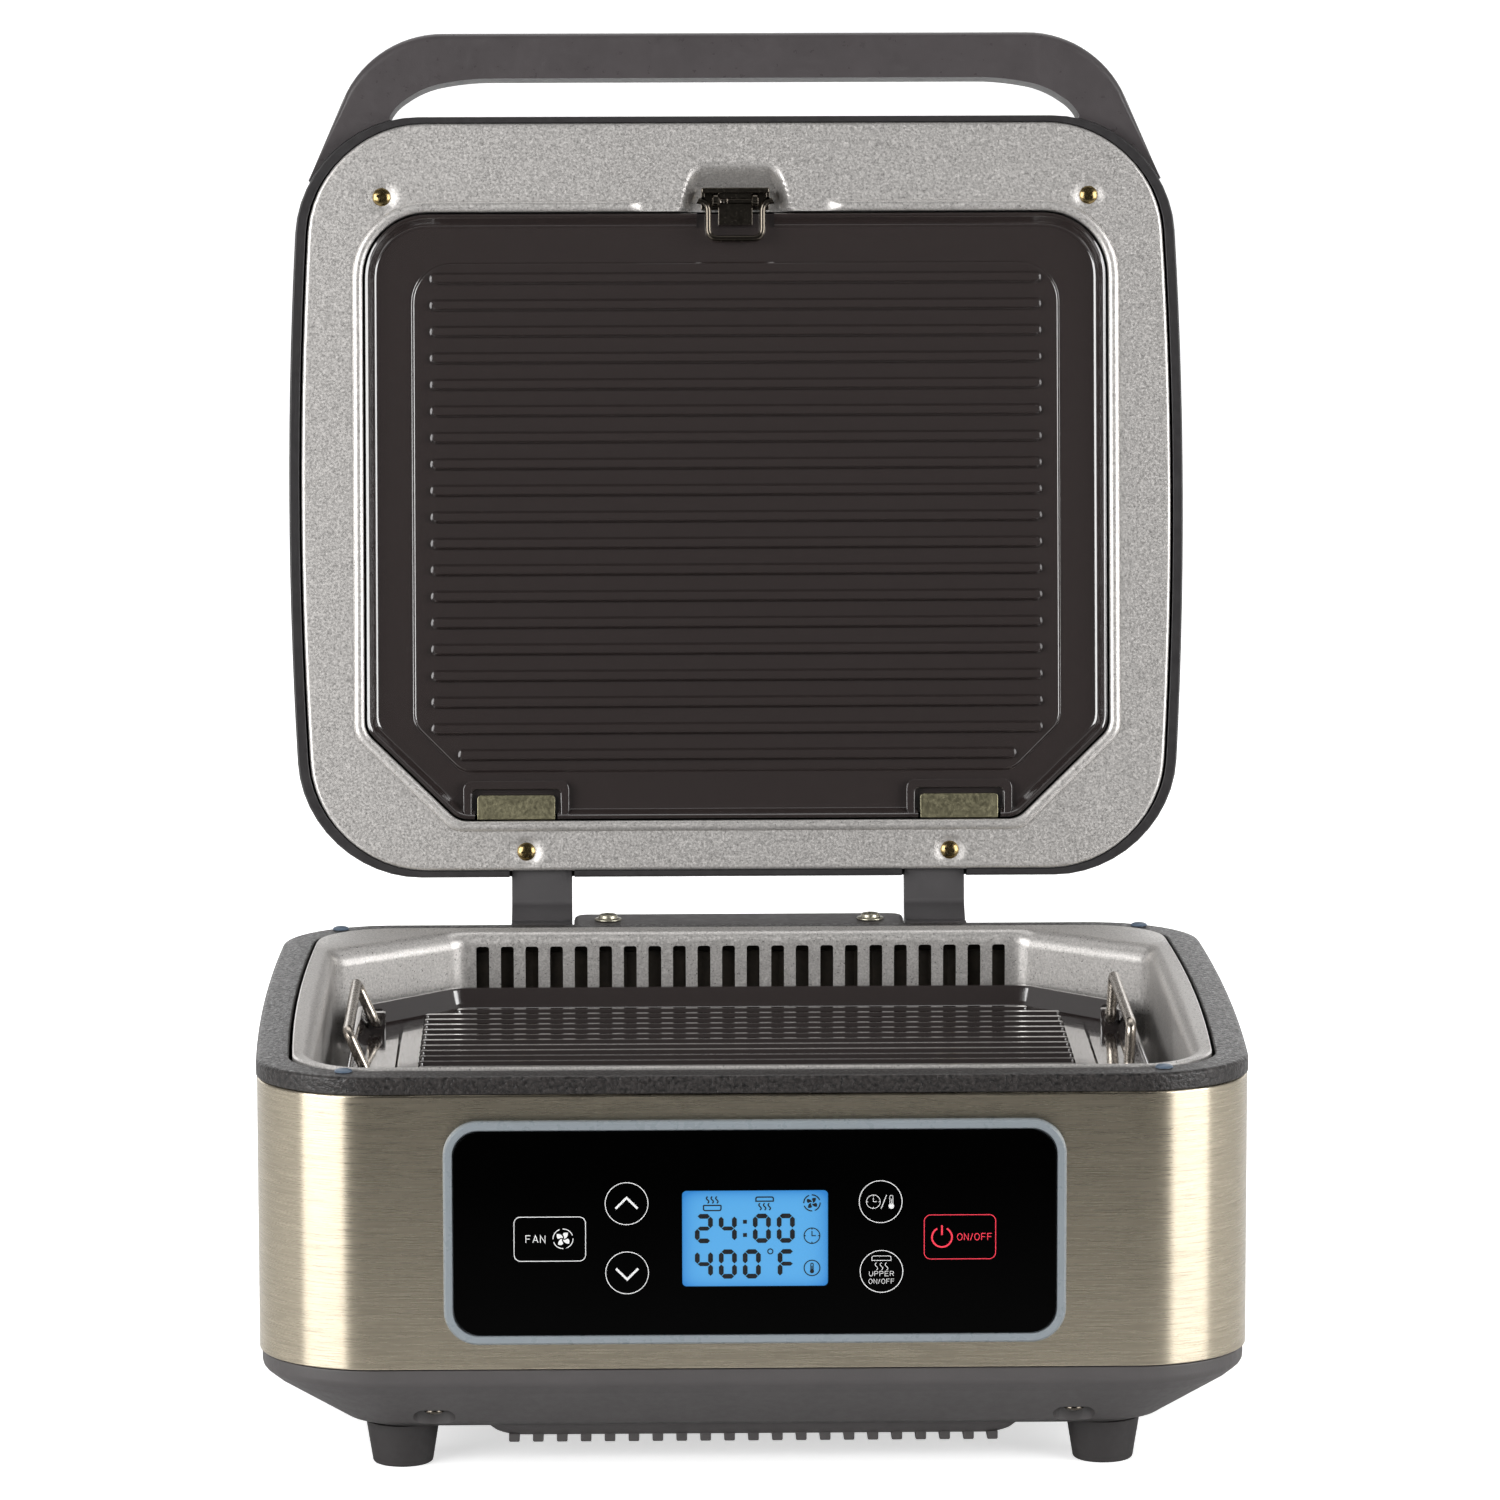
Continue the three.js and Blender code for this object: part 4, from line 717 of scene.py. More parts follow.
def control_panel():
    face = -PANEL_FRONT
    bezel = [panel_ring(221.5, 81, 12.5, i, d) for i, d in
             ((0, 155.2), (0, face - 1.3), (0.3, face - 0.5), (0.9, face), (2.4, face), (3.0, face - 0.25), (3.3, face - 0.7),
              (3.3, 156.2), (7.4, 156.2), (7.4, 148), (9.6, 148), (9.6, 155.2))]
    bezel = loft(bezel, cyclic=True)
    collar_clear = box(-100.9, 100.9, -40, 40, 140, 156.1)
    piece(upright(cut(bezel, collar_clear)), "panel_bezel", "base", "bezel_grey", ["control_bezel"])

    front = face - 0.3
    glass = loft([panel_ring(214.2, 73.8, 9.5, i, d) for i, d in
                  ((0.2, front - 1.5), (0, front - 1.3), (0, front - 0.35), (0.35, front))])
    half_w, half_h = 25.9, 17.4
    hole = slab([(x, y - 2.1) for x, y in rectangle(half_w, -half_h, half_h, 1.6)], 150, 160)
    piece(upright(cut(glass, hole)), "panel_glass_sheet", "base", "panel_glass", ["control_glass"])
    cell = slab([(x, y - 2.1) for x, y in rectangle(half_w - 0.1, 0.1 - half_h, half_h - 0.1, 1.5)], 150, front - 0.2, 0.15)
    back = box(-29.3, 29.3, -23, 18.2, 150, 154)
    piece(upright(join(cell, back)), "display_cell", "base", "lcd_blue", ["lcd_module"])


PRINT_LOW = -PANEL_FRONT - 0.32
PRINT_HIGH = -PANEL_FRONT - 0.24


def stroke(points, width, closed=False, low=PRINT_LOW, high=PRINT_HIGH):
    """A flat printed line of an even width."""
    p = [Vector(q) for q in points]
    n = len(p)
    left, right = [], []
    for i in range(n):
        before = p[i - 1] if closed or i else p[i]
        after = p[(i + 1) % n] if closed or i < n - 1 else p[i]
        a = (p[i] - before).normalized() if (p[i] - before).length > 1e-9 else (after - p[i]).normalized()
        b = (after - p[i]).normalized() if (after - p[i]).length > 1e-9 else a
        bisector = (a + b).normalized()
        normal = Vector((-bisector.y, bisector.x))
        scale = width / 2 / max(0.35, normal.dot(Vector((-a.y, a.x))))
        left.append(p[i] + normal * scale)
        right.append(p[i] - normal * scale)
    rings = [[(l.x, l.y, low), (r.x, r.y, low), (r.x, r.y, high), (l.x, l.y, high)] for l, r in zip(left, right)]
    return loft(rings, cyclic=closed)


def patch(points, low=PRINT_LOW, high=PRINT_HIGH):
    return loft([[(x, y, z) for x, y in points] for z in (low, high)])


def arc(x, y, radius, start=0.0, end=360.0, count=48):
    closed = abs(end - start) >= 360
    steps = count if closed else count + 1
    return [(x + radius * math.cos(math.radians(start + (end - start) * k / count)),
             y + radius * math.sin(math.radians(start + (end - start) * k / count))) for k in range(steps)]


OVAL = [(0.47 + 0.47 * math.cos(k * math.pi / 12), 0.5 + 0.5 * math.sin(k * math.pi / 12)) for k in range(24)]
BOWL = [(0, 0), (0, 1), (0.5, 1), (0.72, 0.93), (0.8, 0.76), (0.72, 0.58), (0.5, 0.5), (0, 0.5)]
LETTERS = {"F": (0.8, [(0, 0), (0, 1), (0.8, 1)], [(0, 0.52), (0.7, 0.52)]),
           "A": (0.9, [(0, 0), (0.45, 1), (0.9, 0)], [(0.16, 0.34), (0.74, 0.34)]),
           "N": (0.8, [(0, 0), (0, 1), (0.8, 0), (0.8, 1)]), "O": (0.94, [*OVAL, OVAL[0]]), "/": (0.4, [(0, 0), (0.4, 1)]),
           "U": (0.8, [(0, 1), (0, 0.3), (0.12, 0.07), (0.4, 0), (0.68, 0.07), (0.8, 0.3), (0.8, 1)]),
           "P": (0.8, BOWL), "R": (0.8, BOWL, [(0.45, 0.5), (0.8, 0)]),
           "E": (0.8, [(0.8, 0), (0, 0), (0, 1), (0.8, 1)], [(0, 0.52), (0.7, 0.52)])}


def lettering(text, x, y, width, height, line=0.3):
    """A generic function word in thin strokes, centred at x, y."""
    gap = 0.42
    total = sum(LETTERS[c][0] for c in text) + gap * (len(text) - 1)
    scale, left, parts = width / total, x - width / 2, []
    for char in text:
        advance, *lines = LETTERS[char]
        parts += [stroke([(left + px * scale, y + (py - 0.5) * height) for px, py in points], line) for points in lines]
        left += (advance + gap) * scale
    return parts


def fan_sign(x, y, r, line):
    """A ring in four arcs round four curved blades."""
    def at(share, angle):
        return (x + r * share * math.cos(angle), y + r * share * math.sin(angle))

    parts = [stroke(arc(x, y, r, 20 + 90 * k, 92 + 90 * k, 12), line) for k in range(4)]
    for k in range(4):
        base = math.pi / 2 * k
        near = [at(0.1 + 0.68 * t, base + 0.9 * t) for t in np.linspace(0, 1, 8)]
        far = [at(0.1 + 0.68 * t, base + 0.9 * t + 1.15 * math.sin(math.pi * (0.12 + 0.88 * t)))
               for t in np.linspace(1, 0, 8)]
        parts.append(patch(near + far[1:]))
    return parts


def clock_sign(x, y, r, line):
    ticks = [stroke([(x + q * r * math.cos(a), y + q * r * math.sin(a)) for q in (0.78, 0.98)], line)
             for a in (math.pi / 2 * k for k in range(4))]
    rim = stroke(arc(x, y, r, count=32), line, True)
    hands = stroke([(x, y + r * 0.62), (x, y), (x + r * 0.5, y)], line)
    return [rim, hands, *ticks]


def thermometer_sign(x, y, h, line):
    bulb = [(x + h * 0.2 * math.cos(a), y - h * 0.32 + h * 0.2 * math.sin(a))
            for a in (2 * math.pi * k / 16 for k in range(16))]
    tube_line = rounded([(x - h * 0.11, y - h * 0.18, 0), (x - h * 0.11, y + h * 0.46, h * 0.1), (x + h * 0.11, y + h * 0.46, h * 0.1),
                         (x + h * 0.11, y - h * 0.18, 0)], 4, closed=False)
    return [patch(bulb), stroke(tube_line, line * 0.8), stroke([(x, y - h * 0.2), (x, y + h * 0.2)], line * 0.8)]


def steam(x, y, h, line):
    """Three wavy rising lines."""
    wave = [(0.17 * h * math.sin(2 * math.pi * t), h * (t - 0.5)) for t in np.linspace(0, 1, 12)]
    return [stroke([(x + shift + dx, y + dy) for dx, dy in wave], line) for shift in (-0.66 * h, 0, 0.66 * h)]


def lower_heat_sign(x, y, w, line):
    tray = stroke(rounded([(x - w / 2, y - 0.1 * w, 0.2), (x + w / 2, y - 0.1 * w, 0.2), (x + w / 2, y - 0.4 * w, 0.6),
                           (x - w / 2, y - 0.4 * w, 0.6)], 4), line, True)
    return [tray, *steam(x, y + 0.22 * w, 0.4 * w, line)]


def upper_heat_sign(x, y, w, line):
    lid = stroke(rounded([(x - w / 2, y + 0.1 * w, 0), (x + w / 2, y + 0.1 * w, 0), (x + w / 2, y + 0.34 * w, 0.6),
                          (x - w / 2, y + 0.34 * w, 0.6)], 4), line, True)
    return [lid, *steam(x, y - 0.22 * w, 0.4 * w, line)]


def panel_prints():
    line = 0.27

    def key_box(x, y):
        corners = ((-12.7, -8.0), (12.7, -8.0), (12.7, 8.0), (-12.7, 8.0))
        return stroke(rounded([(x + dx, y + dy, 2.3) for dx, dy in corners], 8), line, True)

    white = [key_box(-72.9, -1.9), *lettering("FAN", -78.0, -1.9, 6.8, 2.6, 0.27), *fan_sign(-68.2, -1.8, 3.55, 0.3)]
    for x, y in ((-45.6, 10.8), (-45.5, -14.3), (44.6, 11.0), (44.9, -14.3)):
        white.append(stroke(arc(x, y, 7.6, count=72), line, True))
    white.append(stroke([(-49.5, 9.0), (-45.6, 12.9), (-41.7, 9.0)], 0.8))
    white.append(stroke([(-49.4, -12.8), (-45.5, -16.7), (-41.6, -12.8)], 0.8))
    white += [*clock_sign(42.0, 11.0, 2.45, 0.2), stroke([(44.8, 8.6), (46.7, 13.4)], 0.28)]
    white += thermometer_sign(48.4, 11.0, 5.0, 0.26)
    white += [*upper_heat_sign(44.9, -11.0, 6.8, 0.22), *lettering("UPPER", 44.9, -15.1, 8.6, 1.7, 0.17),
              *lettering("ON/OFF", 44.9, -17.9, 9.0, 1.7, 0.17)]
    piece(upright(gather(white)), "panel_key_print", "base", "panel_print")
    red = [key_box(72.8, -1.9)]
    red += [stroke(arc(66.4, -2.0, 3.55, 118, 422, 40), 0.6), stroke([(66.4, -1.2), (66.4, 2.3)], 0.6)]
    red += lettering("ON/OFF", 78.0, -1.9, 12.2, 2.4, 0.26)
    piece(upright(gather(red)), "panel_power_print", "base", "panel_red")


SEGMENTS = {"0": "abcdef", "2": "abged", "4": "fgbc", "F": "aefg"}


def digit(char, x, y, w, h, t):
    """A seven-segment figure with its lower left corner at x, y."""
    m, g = h / 2, 0.16
    across = {"a": h - t / 2, "g": m, "d": t / 2}
    parts = []
    for key in SEGMENTS[char]:
        if key in across:
            cy = y + across[key]
            half = t * (0.42 if key == "g" else 0.5)
            parts.append(patch([(x + t / 2 + g, cy), (x + t + g, cy - half), (x + w - t - g, cy - half), (x + w - t / 2 - g, cy),
                                (x + w - t - g, cy + half), (x + t + g, cy + half)]))
            continue
        cx = x + t / 2 if key in "ef" else x + w - t / 2
        low = y + t / 2 + g if key in "ec" else y + m + g
        high = y + m - g if key in "ec" else y + h - t / 2 - g
        parts.append(patch([(cx, low), (cx + t / 2, low + t / 2), (cx + t / 2, high - t / 2), (cx, high),
                            (cx - t / 2, high - t / 2), (cx - t / 2, low + t / 2)]))
    return parts


def display_figures():
    """The two rows of figures and the small signs on the display, drawn on its face."""
    ink = []
    for chars, top, left in (("24", 6.9, (-21.4, -12.9)), ("00", 6.9, (-0.8, 7.7)), ("400", -6.0, (-21.4, -12.9, -4.4)),
                             ("F", -6.0, (8.0,))):
        for char, x in zip(chars, left):
            ink += digit(char, x, top - 10.6, 6.4, 10.6, 1.7)
    ink += [moved(patch(rectangle(0.7, y - 0.7, y + 0.7, 0.1, 1)), to=(-3.6, 0, 0)) for y in (4.0, -0.8)]
    ink.append(stroke(arc(5.4, -6.8, 0.9, count=20), 0.4, True))
    ink += lower_heat_sign(-15.2, 10.6, 6.2, 0.46) + upper_heat_sign(3.4, 10.8, 6.2, 0.46) + fan_sign(20.2, 10.7, 2.9, 0.42)
    ink += clock_sign(20.2, -1.2, 2.8, 0.36) + [stroke(arc(20.2, -12.9, 2.8, count=32), 0.38, True)]
    ink += thermometer_sign(20.2, -12.9, 3.8, 0.42)
    piece(upright(gather(ink)), "display_figures", "base", "lcd_ink")


# ---------- hinge ----------
def hinge_parts():
    cover = [[(x, y, z) for x, y in rectangle(65.5 - i, 155.7 + 0.3 * i, 187 - i, 4, 8)] for i, z in
             ((6, 118), (1, 125), (0, 127), (0, 146.6), (0.4, 147.7), (1.2, 148.4), (2.2, 148.6))]
    cover = loft(cover)
    inner = box(-63, 63, 150, 184.4, 110, 146.2, 1)
    open_front = box(-70, 70, 150, 155.9, 110, 150)
    bore = moved(turned([(0, -75), (3.5, -75), (3.5, 75), (0, 75)], 32), turn=(0, 90, 0), to=(0, HINGE_Y, HINGE_Z))
    holes = [moved(turned([(0, 140), (2.2, 140), (2.2, 152), (0, 152)], 20), to=(x, 170, 0)) for x in (-52, 52)]
    piece(cut(cover, inner, open_front, bore, *holes), "hinge_housing", "base", "body_plastic", ["hinge_cover"])
    for name, x in (("left", -52), ("right", 52)):
        profile = rounded([(0, 142, 0), (1.8, 142, 0), (1.8, 148.9, 0), (5.4, 148.9, 0.3), (5.3, 149.6, 0.3), (3.9, 149.8, 0.3),
                           (3.4, 151.3, 0.8), (0, 151.6, 0)], 6, closed=False)
        cross = [box(-2, 2, -0.5, 0.5, 150.2, 153), box(-0.5, 0.5, -2, 2, 150.2, 153)]
        screw = moved(cut(turned(profile), *cross), turn=(0, 0, 25), to=(x, 170, 0))
        piece(screw, f"flanged_screw_{name}", "base", "plated_steel", [f"hinge_cover_screw_{name}"])
    profile = rounded([(HINGE_Y + 7.4, HINGE_Z - 5, 5), (HINGE_Y + 7.4, HINGE_Z + 8, 2), (HINGE_Y - 2, HINGE_Z + 21.6, 4),
                       (LID_REAR - 15, HINGE_Z + 21.6, 0.4), (LID_REAR - 15, HINGE_Z + 16, 0.4),
                       (HINGE_Y - 14, HINGE_Z + 16, 3), (HINGE_Y - 7, HINGE_Z + 7, 3), (HINGE_Y - 7, HINGE_Z - 5, 5)], 10)
    for name, side in (("left", -1), ("right", 1)):
        low, high = sorted((side * 66.3, side * 90.4))
        arm = eased(loft([[(x, y, z) for y, z in profile] for x in (low, high)]), 0.6, 3)
        bore = moved(turned([(0, low - 2), (3.3, low - 2), (3.3, high + 2), (0, high + 2)], 32), turn=(0, 90, 0),
                     to=(0, HINGE_Y, HINGE_Z))
        hole = moved(turned([(0, 150), (2.2, 150), (2.2, 170), (0, 170)], 20), to=(side * 84.5, LID_REAR - 6.8, 0))
        piece(cut(arm, bore, hole), f"crank_arm_{name}", "lid", "hinge_arm_paint", [f"hinge_arm_{name}"], lid=True)


# ---------- lid ----------
def w(height):
    return LID_PLANE + height


def lid_case():
    path = rounded([(17, w(42.8), 0), (6, w(38), 8), (4.1, w(28), 4), (4.1, w(0.2), 0.3), (0.3, w(0), 0.6), (0, w(3), 3),
                    (0.4, w(30), 6), (2.4, w(39), 6), (7, w(44.4), 6), (15, w(46), 4), (24, w(46), 0.4), (24, w(44.8), 0)],
                   6, closed=False)
    shell = stack(lid_outline, path)
    arms = [box(side * 78.35 - 13, side * 78.35 + 13, 145, 153, w(-1), w(11), 0) for side in (-1, 1)]
    seat = loft([[(x, y, z) for x, y in lid_outline(LINER_EDGE["x"] - 0.3, LINER_EDGE["y"] - 0.3)] for z in (w(-1), w(1.7))])
    piece(cut(shell, seat, *arms), "lid_case", "lid", "lid_plastic", ["lid_shell"], lid=True)
    panel = stack(lid_outline, rounded([(24.3, w(45.1), 0), (24.3, w(46.5), 0.7), (30, w(46.5), 0)], 4, closed=False))
    piece(panel, "lid_cap_plate", "lid", "lid_steel", ["lid_top_panel"], lid=True)


def handle_outline(inset):
    v = LID_REAR
    corners = [(-170.3, v - 275, 0), (-145.4, v - 333.8, 43), (145.4, v - 333.8, 43), (170.3, v - 275, 0), (150, v - 275, 0),
               (110, v - 298, 0), (-110, v - 298, 0), (-150, v - 275, 0)]
    points = rounded(corners, 20)
    drawn = []
    for x, y in points:
        reach = min(1, max(0, (LID["front"] + 25 - y) / 50))
        drawn.append((x * (1 - inset * reach / 175), y + inset * reach))
    return drawn


def lid_handle():
    path = rounded([(3, w(6), 0), (0.2, w(6.4), 2.5), (0, w(28), 4), (4.5, w(30), 0)], 8, closed=False)
    body = stack(handle_outline, path)
    right = [(x, LID_REAR - v, radius) for x, v, radius in
             ((138.5, 299, 1), (135.5, 304.5, 16), (124, 312.3, 36), (106, 315.5, 100))]
    left = [(-x, y, radius) for x, y, radius in right]
    outline = rounded(left + right[::-1], 60)
    gap = loft([[(x, y, z) for x, y in outline] for z in (w(-5), w(50))])
    space = stack(lid_outline, [(-0.4, w(-2)), (-0.4, w(34))])
    grip = cut(body, gap, space)
    piece(eased(grip, 0.6, 3, 40), "lid_grip", "lid", "handle_plastic", ["lid_handle"], lid=True)


def smooth(value, low, high):
    t = np.clip((value - low) / (high - low), 0, 1)
    return t * t * (3 - 2 * t)


LINER_SCREWS = {"front_left": (-141, 268), "front_right": (141, 268), "rear_left": (-84.5, 6.8),
                "rear_right": (84.5, 6.8)}
BEAD_WIDTH = 4.1
BEAD_HEIGHT = 1.3


def liner_relief(ring):
    """How far the liner sinks at each point: dimples round the screws and a pocket for the latch."""
    x, v = ring[:, 0], LID_REAR - ring[:, 1]
    sink = np.zeros(len(ring))
    for sx, sv in LINER_SCREWS.values():
        sink += 0.8 * (1 - smooth(np.hypot(x - sx, v - sv), 3.6, 6.6))
    half = 13.2 + 0.34 * np.clip(281.4 - v, 0, 20)
    in_front = v > 200
    sink += 7.2 * (1 - smooth(np.abs(x) - half, -1.2, 3.6)) * (1 - smooth(v, 270.5, 281.8)) * in_front
    ramp = (1 - bead_share(ring)) * (1 - smooth(v, 262, 273)) * in_front
    return np.maximum(sink, ramp * 0.6)


def bead_share(ring):
    """1 where the bead stands, falling to 0 beside the latch pocket."""
    gap = (ring[:, 1] < 0) * (1 - smooth(np.abs(ring[:, 0]), 36, 43.5))
    return 1 - gap


def lid_liner():
    """Stamped sheet: rolled edge, flat margin, a raised bead and a turned-down opening."""
    centre = (0, 5)
    outer = by_angle(lid_outline(LINER_EDGE["x"], LINER_EDGE["y"]), centre)
    edge = by_angle(lid_outline(LINER_EDGE["x"] + 1.3, LINER_EDGE["y"] + 1.3), centre)
    bead_out = by_angle(plate_outline(OPENING, -BEAD_WIDTH), centre)
    mouth = by_angle(plate_outline(OPENING), centre)
    back = by_angle(plate_outline(OPENING, -1.2), centre)
    front, behind = [], []

    def at(ring, height):
        return np.column_stack([ring, w(0) + height])

    def flat(value):
        return np.full(RAYS, float(value))

    for k in range(5):
        a = math.pi / 2 * k / 5
        f = 1 - math.cos(a)
        front.append(at(outer * (1 - f) + edge * f, flat(1.3 * (1 - math.sin(a)))))
    steps = 28
    for k in range(steps):
        f = k / steps
        ring = edge * (1 - f) + bead_out * f
        sink = liner_relief(ring)
        front.append(at(ring, sink))
        behind.append(at(ring, sink + 1.2))
    for k in range(15):
        a = math.pi * k / 14
        f = (1 - math.cos(a)) / 2
        ring = bead_out * (1 - f) + mouth * f
        front.append(at(ring, liner_relief(ring) - BEAD_HEIGHT * math.sin(a) * bead_share(ring)))
    behind.append(at(back, liner_relief(bead_out) + 1.3))
    rings = front + [at(mouth, flat(10)), at(back, flat(10))] + behind[::-1]
    sheet = loft([[tuple(p) for p in ring] for ring in rings], cyclic=True)
    holes = [moved(turned([(0, w(-3)), (2.1, w(-3)), (2.1, w(6)), (0, w(6))], 20), to=(x, LID_REAR - v, 0))
             for x, v in LINER_SCREWS.values()]
    piece(cut(sheet, *holes), "lid_liner_sheet", "lid", "liner_aluminium", ["lid_liner"], lid=True)
    for i, (name, (x, v)) in enumerate(LINER_SCREWS.items()):
        screw = moved(phillips(3.75, 1.7, 10), turn=(180, 0, 12 + 33 * i), to=(x, LID_REAR - v, w(1.6)))
        piece(screw, f"liner_screw_{name}", "lid", "screw_steel", [f"lid_screw_{name}"], lid=True)


def upper_plate():
    n = RAYS
    centre = (0, 5)

    def ring(inset, z):
        return np.column_stack([by_angle(plate_outline(OPENING, 0.8 + inset), centre), np.full(n, w(z))])

    def inner(inset, z):
        return np.column_stack([by_angle(plate_outline(FIELD, inset), centre), np.full(n, w(z))])

    rings = [inner(2, 9.5), ring(0.6, 9.5), ring(0, 9.0), ring(0, 1.6), ring(0.3, 1.15), ring(0.9, 1.0), ring(1.5, 1.3),
             ring(2.0, 2.0), ring(3.6, 4.2), ring(4.6, 4.85), ring(6, 5.0)]
    rings += [inner(-0.5, 5.0), inner(0, 4.85), inner(0.6, 4.1), inner(1.1, 3.9), inner(9, 3.9)]
    plate = loft([[tuple(p) for p in r] for r in rings])
    back = OPENING["back"]
    middle, half = 88.5, 15.5
    beads = []
    for s in (-1, 1):
        out = [(x + s * middle, y) for x, y in rectangle(half + 5.6, back - 16, back - 1.2, 3.5, 8)]
        inside = [(x + s * middle, y) for x, y in rectangle(half + 2.4, back - 12.8, back + 2, 2.2, 8)]
        bead = eased(cut(slab(out, w(1.6), w(5.5)), slab(inside, w(0), w(5))), 1.3, 4, 50)
        beads.append(bead)
    through = [box(s * middle - half - 1, s * middle + half + 1, back - 2.8, back + 1, w(0), w(10)) for s in (-1, 1)]
    seats = [box(s * middle - half - 1, s * middle + half + 1, back - 11.4, back, w(0), w(5.4)) for s in (-1, 1)]
    catch = box(-15.5, 15.5, OPENING["front"], OPENING["front"] + 6.4, w(0), w(6.3), 0)
    whole = join(plate, ribs(18, UPPER_RIB_HALF, w(4.2), w(1.2)), *beads)
    piece(cut(whole, *through, *seats, catch), "upper_plate_casting", "lid", "nonstick", ["upper_grill_plate"], lid=True)
    for name, s in (("left", -1), ("right", 1)):
        tab = slab(rounded([(s * middle - half, back - 10.3, 1.5), (s * middle + half, back - 10.3, 1.5),
                            (s * middle + half, back - 0.6, 0), (s * middle - half, back - 0.6, 0)], 6), w(2.2), w(3.8), 0.3)
        leg = box(s * middle - half, s * middle + half, back - 2.2, back - 0.6, w(3), w(15), 0.3)
        piece(join(tab, leg), f"spring_tab_{name}", "lid", "tab_steel", [f"plate_tab_{name}"], lid=True)


def latch():
    y, z = LATCH_Y, LATCH_Z
    base = box(-13.6, 13.6, y - 4.2, y + 3.4, w(4.6), w(6), 0.3)
    ears = [box(side * 12.95 - 0.65, side * 12.95 + 0.65, y - 4.2, y + 1.6, z - 1, w(5), 0.2) for side in (-1, 1)]
    hood = box(-13.6, 13.6, y - 5.2, y - 3.0, z - 1.8, w(5), 0.6, 3)
    rolls = [moved(turned([(0, lo), (2.2, lo), (2.8, lo + 0.6), (2.8, hi - 0.6), (2.2, hi), (0, hi)], 28),
                   turn=(0, 90, 0), to=(0, y, z)) for lo, hi in ((-9.3, -6.4), (6.4, 9.3))]
    tongue = box(-6.8, 6.8, y - 3.4, y + 9.6, w(0.4), w(1.6), 0.3)
    drop = box(-6.8, 6.8, y - 3.4, y - 2.2, w(0.8), w(5), 0.3)
    bore = moved(turned([(0, -20), (1.7, -20), (1.7, 20), (0, 20)], 24), turn=(0, 90, 0), to=(0, y, z))
    body = cut(join(base, *ears, hood, *rolls, drop, tongue), bore)
    piece(body, "latch_catch", "lid", "latch_steel", ["latch_bracket"], lid=True)
    half, end, reach = 10.85, 14.2, 15.0
    route = [(-end, y, z), (-half, y, z), (-half, y + reach, z), (half, y + reach, z), (half, y, z), (end, y, z)]
    piece(tube(route, 1.25, 4.2), "latch_wire", "latch", "latch_steel", ["latch_lever"], lid=True)


def power_inlet():
    def ring(width, height, radius, depth):
        return [(x + 118, y, depth) for x, y in rectangle(width / 2, -height / 2, height / 2, radius, 8)]

    flange = loft([ring(36, 27, 3, 155.3), ring(36, 27, 3, 157.0), ring(35.2, 26.2, 2.6, 157.6)])
    body = loft([ring(28.4, 20.8, 2, 136), ring(28.4, 20.8, 2, 155.6)])
    cavity = loft([ring(25, 17.4, 3, 139), ring(25, 17.4, 3, 157.2), ring(26, 18.4, 3.4, 157.9)])
    shell = moved(cut(join(flange, body), cavity), turn=(90, 0, 180), to=(0, 0, 70))
    shell.data.transform(Matrix.Translation((236, 0, 0)))
    pins = [box(118 + dx - 1, 118 + dx + 1, 138.5, 152, 70 + dz - 2, 70 + dz + 2, 0.4) for dx, dz in ((-7, -1.5), (0, 3), (7, -1.5))]
    piece(shell, "inlet_socket", "base", "inlet_plastic", ["power_inlet"])
    piece(gather(pins), "inlet_pins", "base", "plated_steel")


# ---------- CAD nodes that stay as they are ----------
def dress_inner_parts():
    kept = {"drip_tray": "liner_aluminium", "lower_heating_element": "heater_sheath",
            "upper_heating_element": "heater_sheath", "temperature_sensor": "plated_steel", "control_board": "circuit_board",
            "power_board": "circuit_board", "fan_shroud": "fan_plastic", "fan_motor": "plated_steel",
            # the smoke duct and filter take the dark look that paints the shade seen through the liner slots
            "fan_impeller": "fan_plastic", "smoke_duct": "smoke_black_slot_shade", "smoke_filter": "smoke_black_slot_shade",
            "hinge_bracket": "plated_steel", "hinge_shaft": "plated_steel", "upper_reflector": "liner_aluminium",
            "latch_spring": "wire_steel"}
    for name, look in kept.items():
        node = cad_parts[name]
        for material_slot in node.material_slots:
            material_slot.material = LOOKS[look].mat


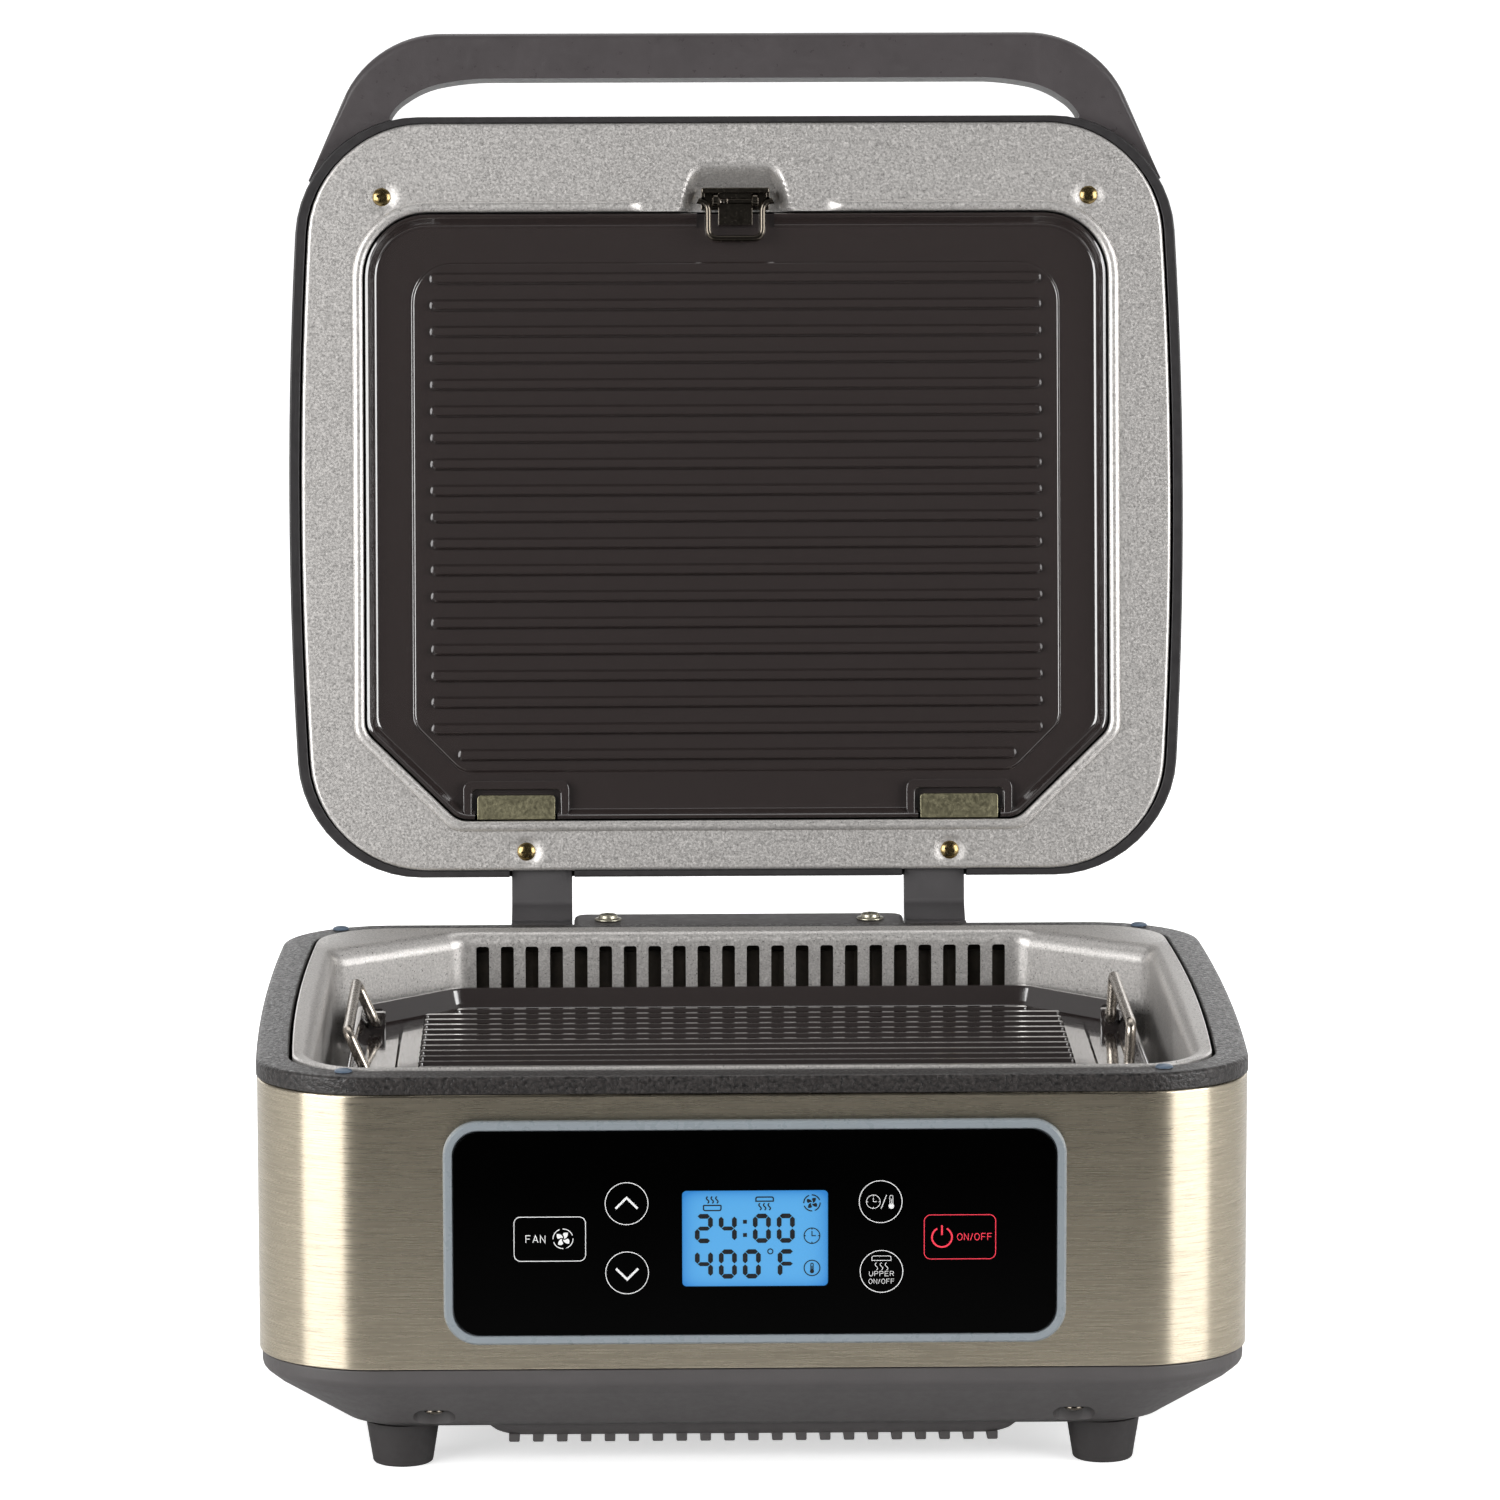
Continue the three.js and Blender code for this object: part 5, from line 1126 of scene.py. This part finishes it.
# ---------- camera, light and floor ----------
def studio():
    camera = bpy.data.objects.new("camera", bpy.data.cameras.new("camera"))
    bpy.context.scene.collection.objects.link(camera)
    camera.data.sensor_width = 36
    camera.data.lens = 181.84
    camera.data.clip_end = 100
    camera.location = (-0.04879, -2.79129 + BODY_Y * MM, 0.66994)
    camera.rotation_euler = [math.radians(a) for a in (81.302, 0.105, -1.045)]
    bpy.context.scene.camera = camera

    floor = bpy.data.objects.new("floor", bpy.data.meshes.new("floor"))
    size = 40
    floor.data.from_pydata([(-size, -size, 0), (size, -size, 0), (size, size, 0), (-size, size, 0)], [], [(0, 1, 2, 3)])
    bpy.context.scene.collection.objects.link(floor)
    look = Look("floor", (0.93, 0.93, 0.93, 1), 0.6)
    look.tint(look.noise(400), 0.01)
    look.set("Emission Color", (1, 1, 1, 1))
    look.set("Emission Strength", 0.6)
    # beyond the table's front edge the room is darker, which the fronts of shiny parts reflect
    split = look.node("ShaderNodeSeparateXYZ")
    look.links.new(look.place, split.inputs["Vector"])
    table = look.spread(split.outputs["Y"], 0.05, 0.8, -0.75, -0.26)
    shade = look.node("ShaderNodeBsdfDiffuse")
    look.links.new(table, shade.inputs["Color"])
    mix = look.node("ShaderNodeMixShader")
    seen = look.node("ShaderNodeLightPath")
    look.links.new(seen.outputs["Is Camera Ray"], mix.inputs["Fac"])
    look.links.new(shade.outputs["BSDF"], mix.inputs[1])
    look.links.new(look.shader.outputs["BSDF"], mix.inputs[2])
    look.links.new(mix.outputs["Shader"], look.nodes["Material Output"].inputs["Surface"])
    floor.data.materials.append(look.mat)

    def panel_light(name, target, azimuth, elevation, distance, width, height, radiance):
        a, e = math.radians(azimuth), math.radians(elevation)
        target = Vector(target)
        away = Vector((math.sin(a) * math.cos(e), -math.cos(a) * math.cos(e), math.sin(e)))
        light = bpy.data.lights.new(name, "AREA")
        light.shape, light.size, light.size_y = "RECTANGLE", width, height
        light.energy = radiance * math.pi * width * height
        obj = bpy.data.objects.new(name, light)
        obj.location = target + away * distance
        obj.rotation_euler = (-away).to_track_quat("-Z", "Y").to_euler()
        obj.visible_camera = False
        bpy.context.scene.collection.objects.link(obj)

    panel_light("soft_left", (-0.16, -0.2, 0.22), -50.8, 15, 1.9, 1.62, 1.4, 7.6)
    panel_light("soft_right", (0.16, -0.2, 0.22), 58.8, 15, 1.9, 1.48, 1.4, 7.2)
    panel_light("soft_top", (0, -0.05, 0.22), 180, 70, 2.4, 2.6, 1.6, 1.4)

    world = bpy.data.worlds.new("studio")
    bpy.context.scene.world = world
    world.use_nodes = True
    nodes, links = world.node_tree.nodes, world.node_tree.links
    place = nodes.new("ShaderNodeTexCoord")
    split = nodes.new("ShaderNodeSeparateXYZ")
    links.new(place.outputs["Generated"], split.inputs["Vector"])
    # dark in front of the object, mid grey beside it, white behind it
    levels = []
    for start, end, low, high in ((-0.32, -0.2, 0.08, 0.42), (0.66, 0.74, 0.0, 1.3)):
        ramp = nodes.new("ShaderNodeMapRange")
        ramp.inputs["From Min"].default_value, ramp.inputs["From Max"].default_value = start, end
        ramp.inputs["To Min"].default_value, ramp.inputs["To Max"].default_value = low, high
        links.new(split.outputs["Y"], ramp.inputs["Value"])
        levels.append(ramp.outputs["Result"])
    both = nodes.new("ShaderNodeMath")
    links.new(levels[0], both.inputs[0])
    links.new(levels[1], both.inputs[1])
    links.new(both.outputs[0], nodes["Background"].inputs["Strength"])
    nodes["Background"].inputs["Color"].default_value = (1, 1, 1, 1)
    bpy.context.scene.view_settings.view_transform = "Standard"


studio()
base_tub()
feet()
steel_wrap()
top_rim()
base_liner()
lower_plate()
wire_handles()
control_panel()
panel_prints()
display_figures()
hinge_parts()
lid_case()
lid_handle()
lid_liner()
upper_plate()
latch()
power_inlet()
dress_inner_parts()
